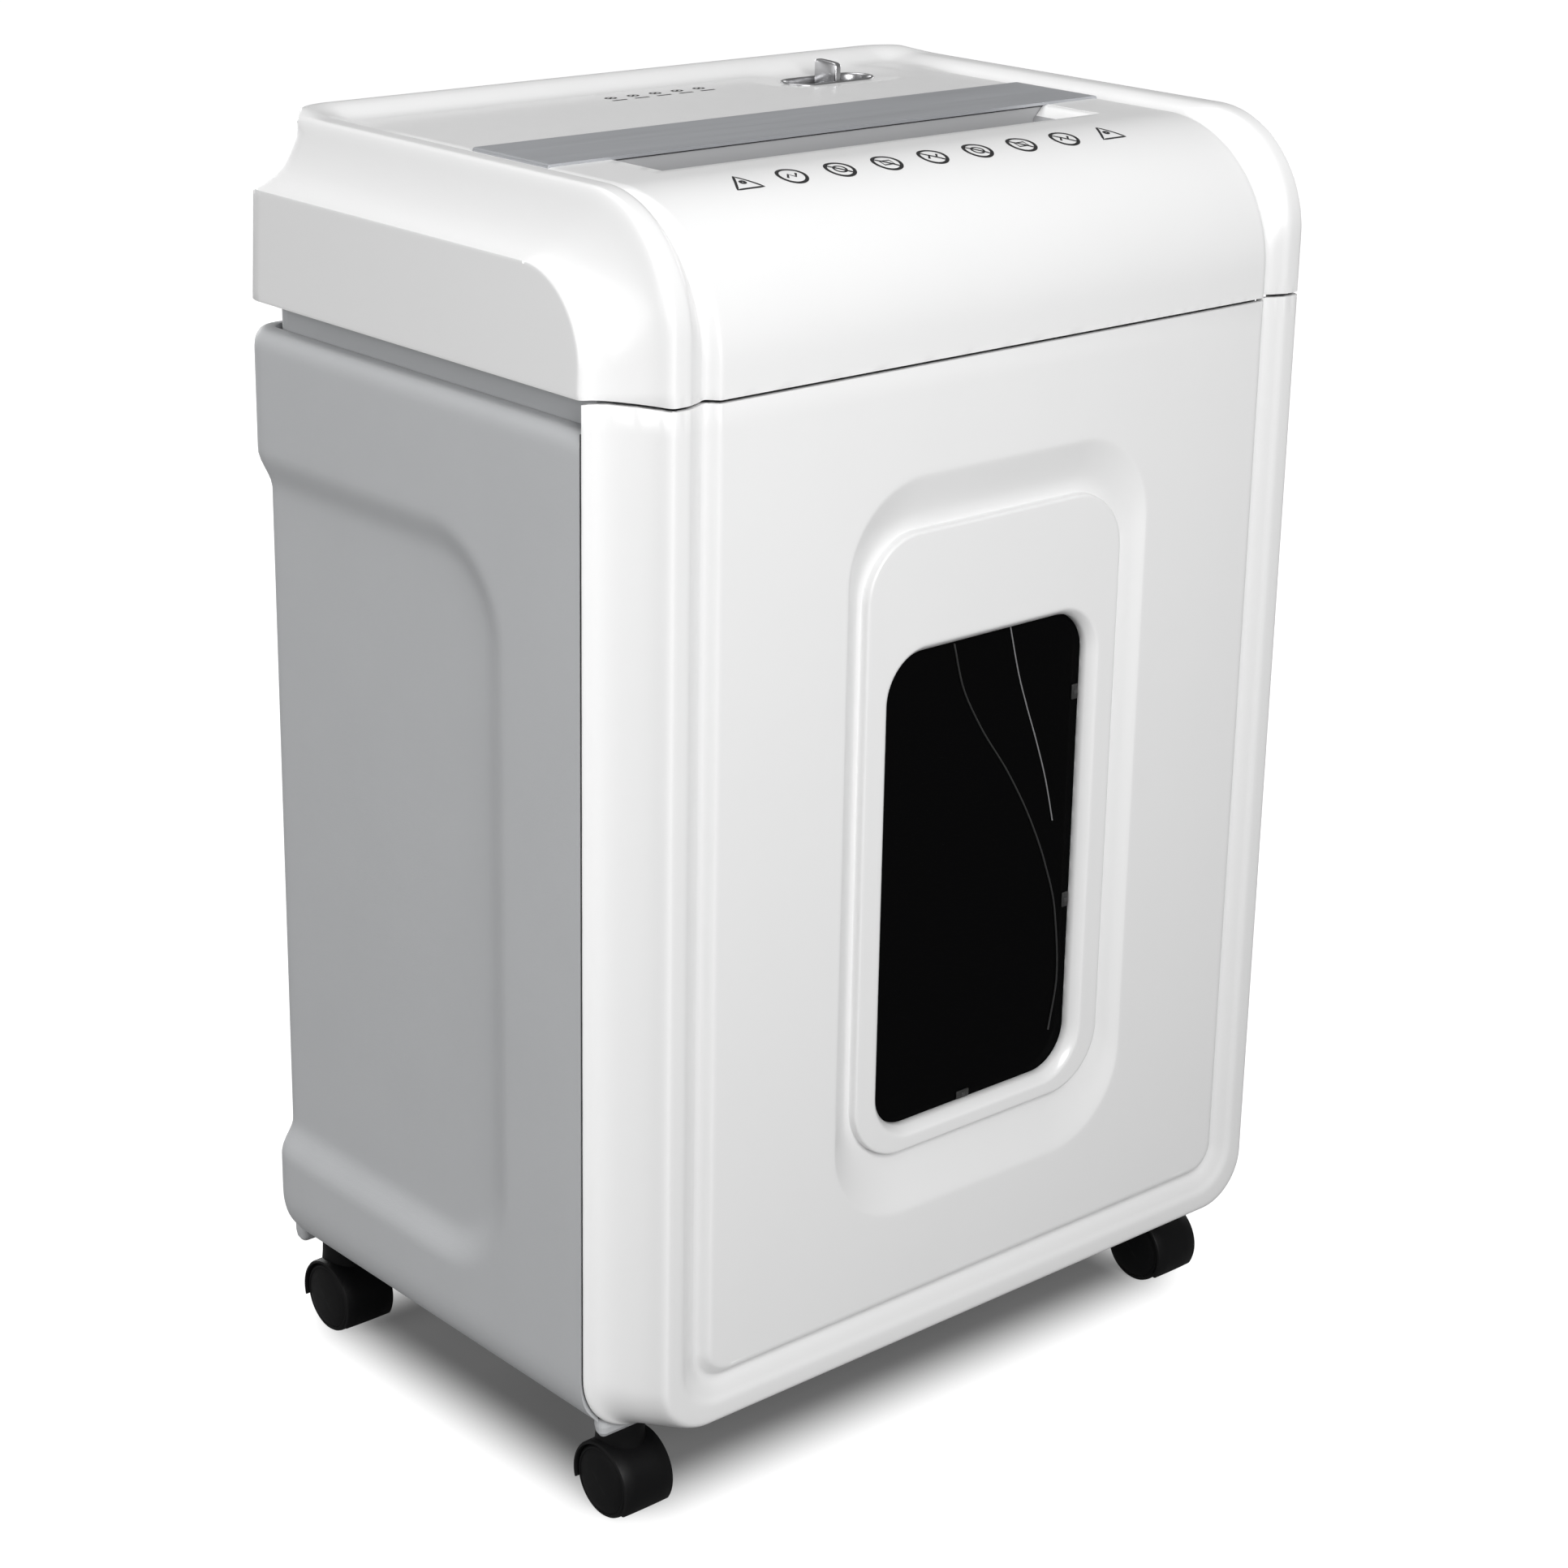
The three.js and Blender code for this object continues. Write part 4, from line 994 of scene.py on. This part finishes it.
def make_switch():
    top = PANEL_TOP - SINK
    levels = [(0.0, -6.0), (0.0, -0.1), (-0.1, 0.35), (-0.45, 0.65), (-0.95, 0.7), (-1.45, 0.45), (-1.85, -0.3),
              (-2.1, -1.6), (-2.2, -3.0), (-2.3, -6.0)]
    rings = [stadium(SWITCH_LONG + 2 * g, SWITCH_WIDE + 2 * g, top + z) for g, z in levels]
    ring = loft("switch_bezel", rings + rings[:1], caps=False)
    finish_piece(ring, "cabinet", "chrome", "switch_track")
    well = [stadium(SWITCH_LONG + 2 * g, SWITCH_WIDE + 2 * g, top + z)
            for g, z in ((-1.9, -5.2), (-1.9, -4.4), (-2.6, -4.0), (-5.0, -3.9))]
    finish_piece(loft("switch_well", well), "cabinet", "black_plastic")
    x, y = SWITCH
    outline = [(y + 7.3, 557.6), (y + 7.3, 568.6), (y + 7.1, 569.2), (y + 6.6, 569.6), (y + 5.6, 569.75),
               (y + 2.3, 569.7), (y - 1.7, 569.55), (y - 4.8, 569.3), (y - 6.1, 569.0), (y - 7.0, 568.4),
               (y - 7.3, 567.5), (y - 7.3, 557.6)]
    rings = []
    for dx, shrink in ((-1.8, 0.5), (-1.5, 0.12), (-1.1, 0.0), (1.1, 0.0), (1.5, 0.12), (1.8, 0.5)):
        keep = 1 - shrink / 7
        rings.append([(x + dx, y + (a - y) * keep, 563 + (b - 563) * keep) for a, b in outline])
    fin = loft("fin", rings, sharp=35)
    foot = box_mesh("foot", x - 9, x + 9, y - 5.6, y + 5.6, 557.3, 558.8, 0.6)
    knob = merge("switch_slider", [fin, foot])
    finish_piece(knob, "mode_switch", "chrome", "switch_knob")


make_switch()


# ---------------------------------------------------------------- marks printed on the head
def on_front_curve(x, s):
    """Point of the head's front curve: x across, s millimetres along it from the top of the arc."""
    radius = 60.0
    reach = radius + PRINT_LIFT
    angle = math.radians(90) + s / radius if s > 0 else math.radians(90)
    y = 60 + reach * math.cos(angle)
    z = PANEL_TOP - radius + reach * math.sin(angle)
    if s <= 0:
        y, z = 60 - s, PANEL_TOP + PRINT_LIFT
    return (x, FRONT + y, z)


def stroke(points, width, closed=False):
    """Flat band of quads along a path in the mark's own plane."""
    verts, faces = [], []
    n = len(points)
    for i, (a, b) in enumerate(points):
        p = points[(i - 1) % n] if closed or i else points[i]
        q = points[(i + 1) % n] if closed or i < n - 1 else points[i]
        dx, dy = q[0] - p[0], q[1] - p[1]
        length = math.hypot(dx, dy) or 1
        nx, ny = -dy / length * width / 2, dx / length * width / 2
        verts += [(a + nx, b + ny), (a - nx, b - ny)]
    for i in range(n if closed else n - 1):
        j = (i + 1) % n
        faces.append((2 * i, 2 * i + 1, 2 * j + 1, 2 * j))
    return verts, faces


def make_marks():
    verts, faces = [], []

    def add(shape, x0, s0):
        flat, quads = shape
        base = len(verts)
        verts.extend(on_front_curve(x0 + a, s0 - b) for a, b in flat)
        faces.extend(tuple(base + i for i in q) for q in quads)

    def circle(r, count=48):
        return [(r * math.cos(2 * math.pi * k / count), r * math.sin(2 * math.pi * k / count))
                for k in range(count)]

    s_mid = 15.6
    pitch = 25.2
    count = 9
    ring = 6.1
    for k in range(count):
        x0 = -105 + k * pitch
        if k in (0, count - 1):
            corners = [(-6.6, -5.2), (6.6, -5.2), (0.0, 6.0)]
            path = []
            for i in range(3):
                a, b = corners[i], corners[(i + 1) % 3]
                path += [(lerp(a[0], b[0], t), lerp(a[1], b[1], t)) for t in spread(0, 1, 8)[:-1]]
            add(stroke(path, 1.15, closed=True), x0, s_mid)
            add(stroke(circle(1.0, 20), 1.4, closed=True), x0, s_mid)
            continue
        add(stroke(circle(ring), 1.55, closed=True), x0, s_mid)
        if k > 1:
            d = ring * math.cos(math.radians(45))
            add(stroke([(lerp(-d, d, t), lerp(d, -d, t)) for t in spread(0, 1, 8)], 1.2), x0, s_mid)
        kind = k % 3
        if kind == 0:
            add(stroke([(-2.6, -1.8), (2.6, -1.8), (2.6, 1.8), (-2.6, 1.8)], 1.0, closed=True), x0, s_mid)
        elif kind == 1:
            add(stroke([(-3.2, -1.6), (-1.0, 1.4), (1.0, -1.4), (3.2, 1.6)], 1.05), x0, s_mid)
        else:
            add(stroke([(p[0] * 0.45, p[1] * 0.45) for p in circle(ring, 28)], 1.0, closed=True), x0, s_mid)
    obj = make_object("print_front", verts, faces)
    finish_piece(obj, "cabinet", "black_plastic", look="ink")

    verts, faces = [], []
    for k in range(5):
        x0 = (k - 2) * 12.5
        for shape, dy in (
            (stroke([(-3.2, 0), (3.2, 0)], 1.5), -4.6),
            (stroke(circle(2.0, 24), 0.9, closed=True), 1.8),
            (stroke([(-1.2, -1.2), (1.2, 1.2)], 0.8), 1.8),
        ):
            flat, quads = shape
            base = len(verts)
            verts.extend((x0 + 1.25 * a, FRONT + 225 + dy + b, PANEL_TOP + PRINT_LIFT) for a, b in flat)
            faces.extend(tuple(base + i for i in q) for q in quads)
    obj = make_object("print_top", verts, faces)
    finish_piece(obj, "cabinet", "smoked_lens", look="pale_ink")


make_marks()


# ---------------------------------------------------------------- stage
def make_floor():
    bpy.ops.mesh.primitive_plane_add(size=40, location=(0, 0, 0))
    floor = bpy.context.object
    floor.name = "floor"
    mat, tree, shader = new_material("floor")
    nodes, links = tree.nodes, tree.links
    socket(shader, "Base Color", (0.2, 0.2, 0.2, 1))
    socket(shader, "Roughness", 0.9)
    socket(shader, "Specular IOR Level", 0.1)
    socket(shader, "Emission Color", (1, 1, 1, 1))
    place = nodes.new("ShaderNodeTexCoord")
    source = place.outputs["Object"]
    # Distance outside a box under the object: the floor's glow drops towards the box, a painted shadow that
    # falls off with this distance.
    for operation, limit in (
        ("SUBTRACT", (0, 0.015, 0)),
        ("ABSOLUTE", None),
        ("SUBTRACT", (0.145, 0.088, 0)),
        ("MAXIMUM", (0, 0, 0)),
    ):
        step = nodes.new("ShaderNodeVectorMath")
        step.operation = operation
        links.new(source, step.inputs[0])
        if limit:
            step.inputs[1].default_value = limit
        source = step.outputs["Vector"]
    length = nodes.new("ShaderNodeVectorMath")
    length.operation = "LENGTH"
    links.new(source, length.inputs[0])
    glow = map_range(nodes, length.outputs["Value"], links, 0.0, 0.05, 0.05, 1.0, "SMOOTHSTEP")
    ray = nodes.new("ShaderNodeLightPath")
    seen = map_range(nodes, ray.outputs["Is Camera Ray"], links, 0, 1, 0.06, 1.0)
    both = nodes.new("ShaderNodeMath")
    both.operation = "MULTIPLY"
    links.new(glow, both.inputs[0])
    links.new(seen, both.inputs[1])
    links.new(both.outputs["Value"], shader.inputs["Emission Strength"])
    floor.data.materials.append(mat)


def area_light(name, location, target, size, size_y, power):
    data = bpy.data.lights.new(name, "AREA")
    data.shape = "RECTANGLE"
    data.size = size
    data.size_y = size_y
    data.energy = power
    light = bpy.data.objects.new(name, data)
    bpy.context.scene.collection.objects.link(light)
    light.location = location
    light.rotation_mode = "QUATERNION"
    light.rotation_quaternion = (Vector(target) - Vector(location)).to_track_quat("-Z", "Y")


def make_light():
    world = bpy.data.worlds.new("world")
    bpy.context.scene.world = world
    world.use_nodes = True
    nodes, links = world.node_tree.nodes, world.node_tree.links
    background = nodes["Background"]
    socket(background, "Color", (1, 1, 1, 1))
    ray = nodes.new("ShaderNodeLightPath")
    power = map_range(nodes, ray.outputs["Is Camera Ray"], links, 0, 1, 0.18, 1.0)
    links.new(power, background.inputs["Strength"])
    area_light("key", (-0.5, -1.4, 1.06), (0, 0, 0.5), 0.9, 0.8, 22.5)
    area_light("top", (-0.2, 0.45, 2.2), (0, 0, 0.5), 1.4, 1.4, 16)
    area_light("left", (-2.3, 0.1, 1.0), (0, 0, 0.4), 1.2, 1.4, 17.5)
    area_light("back", (0.2, 2.5, 0.75), (0, 0, 0.35), 1.6, 1.0, 28)
    area_light("right", (2.4, 0.5, 0.7), (0, 0, 0.35), 1.2, 1.0, 12)
    scene = bpy.context.scene
    scene.view_settings.view_transform = "Standard"
    scene.view_settings.look = "None"


make_floor()
make_light()
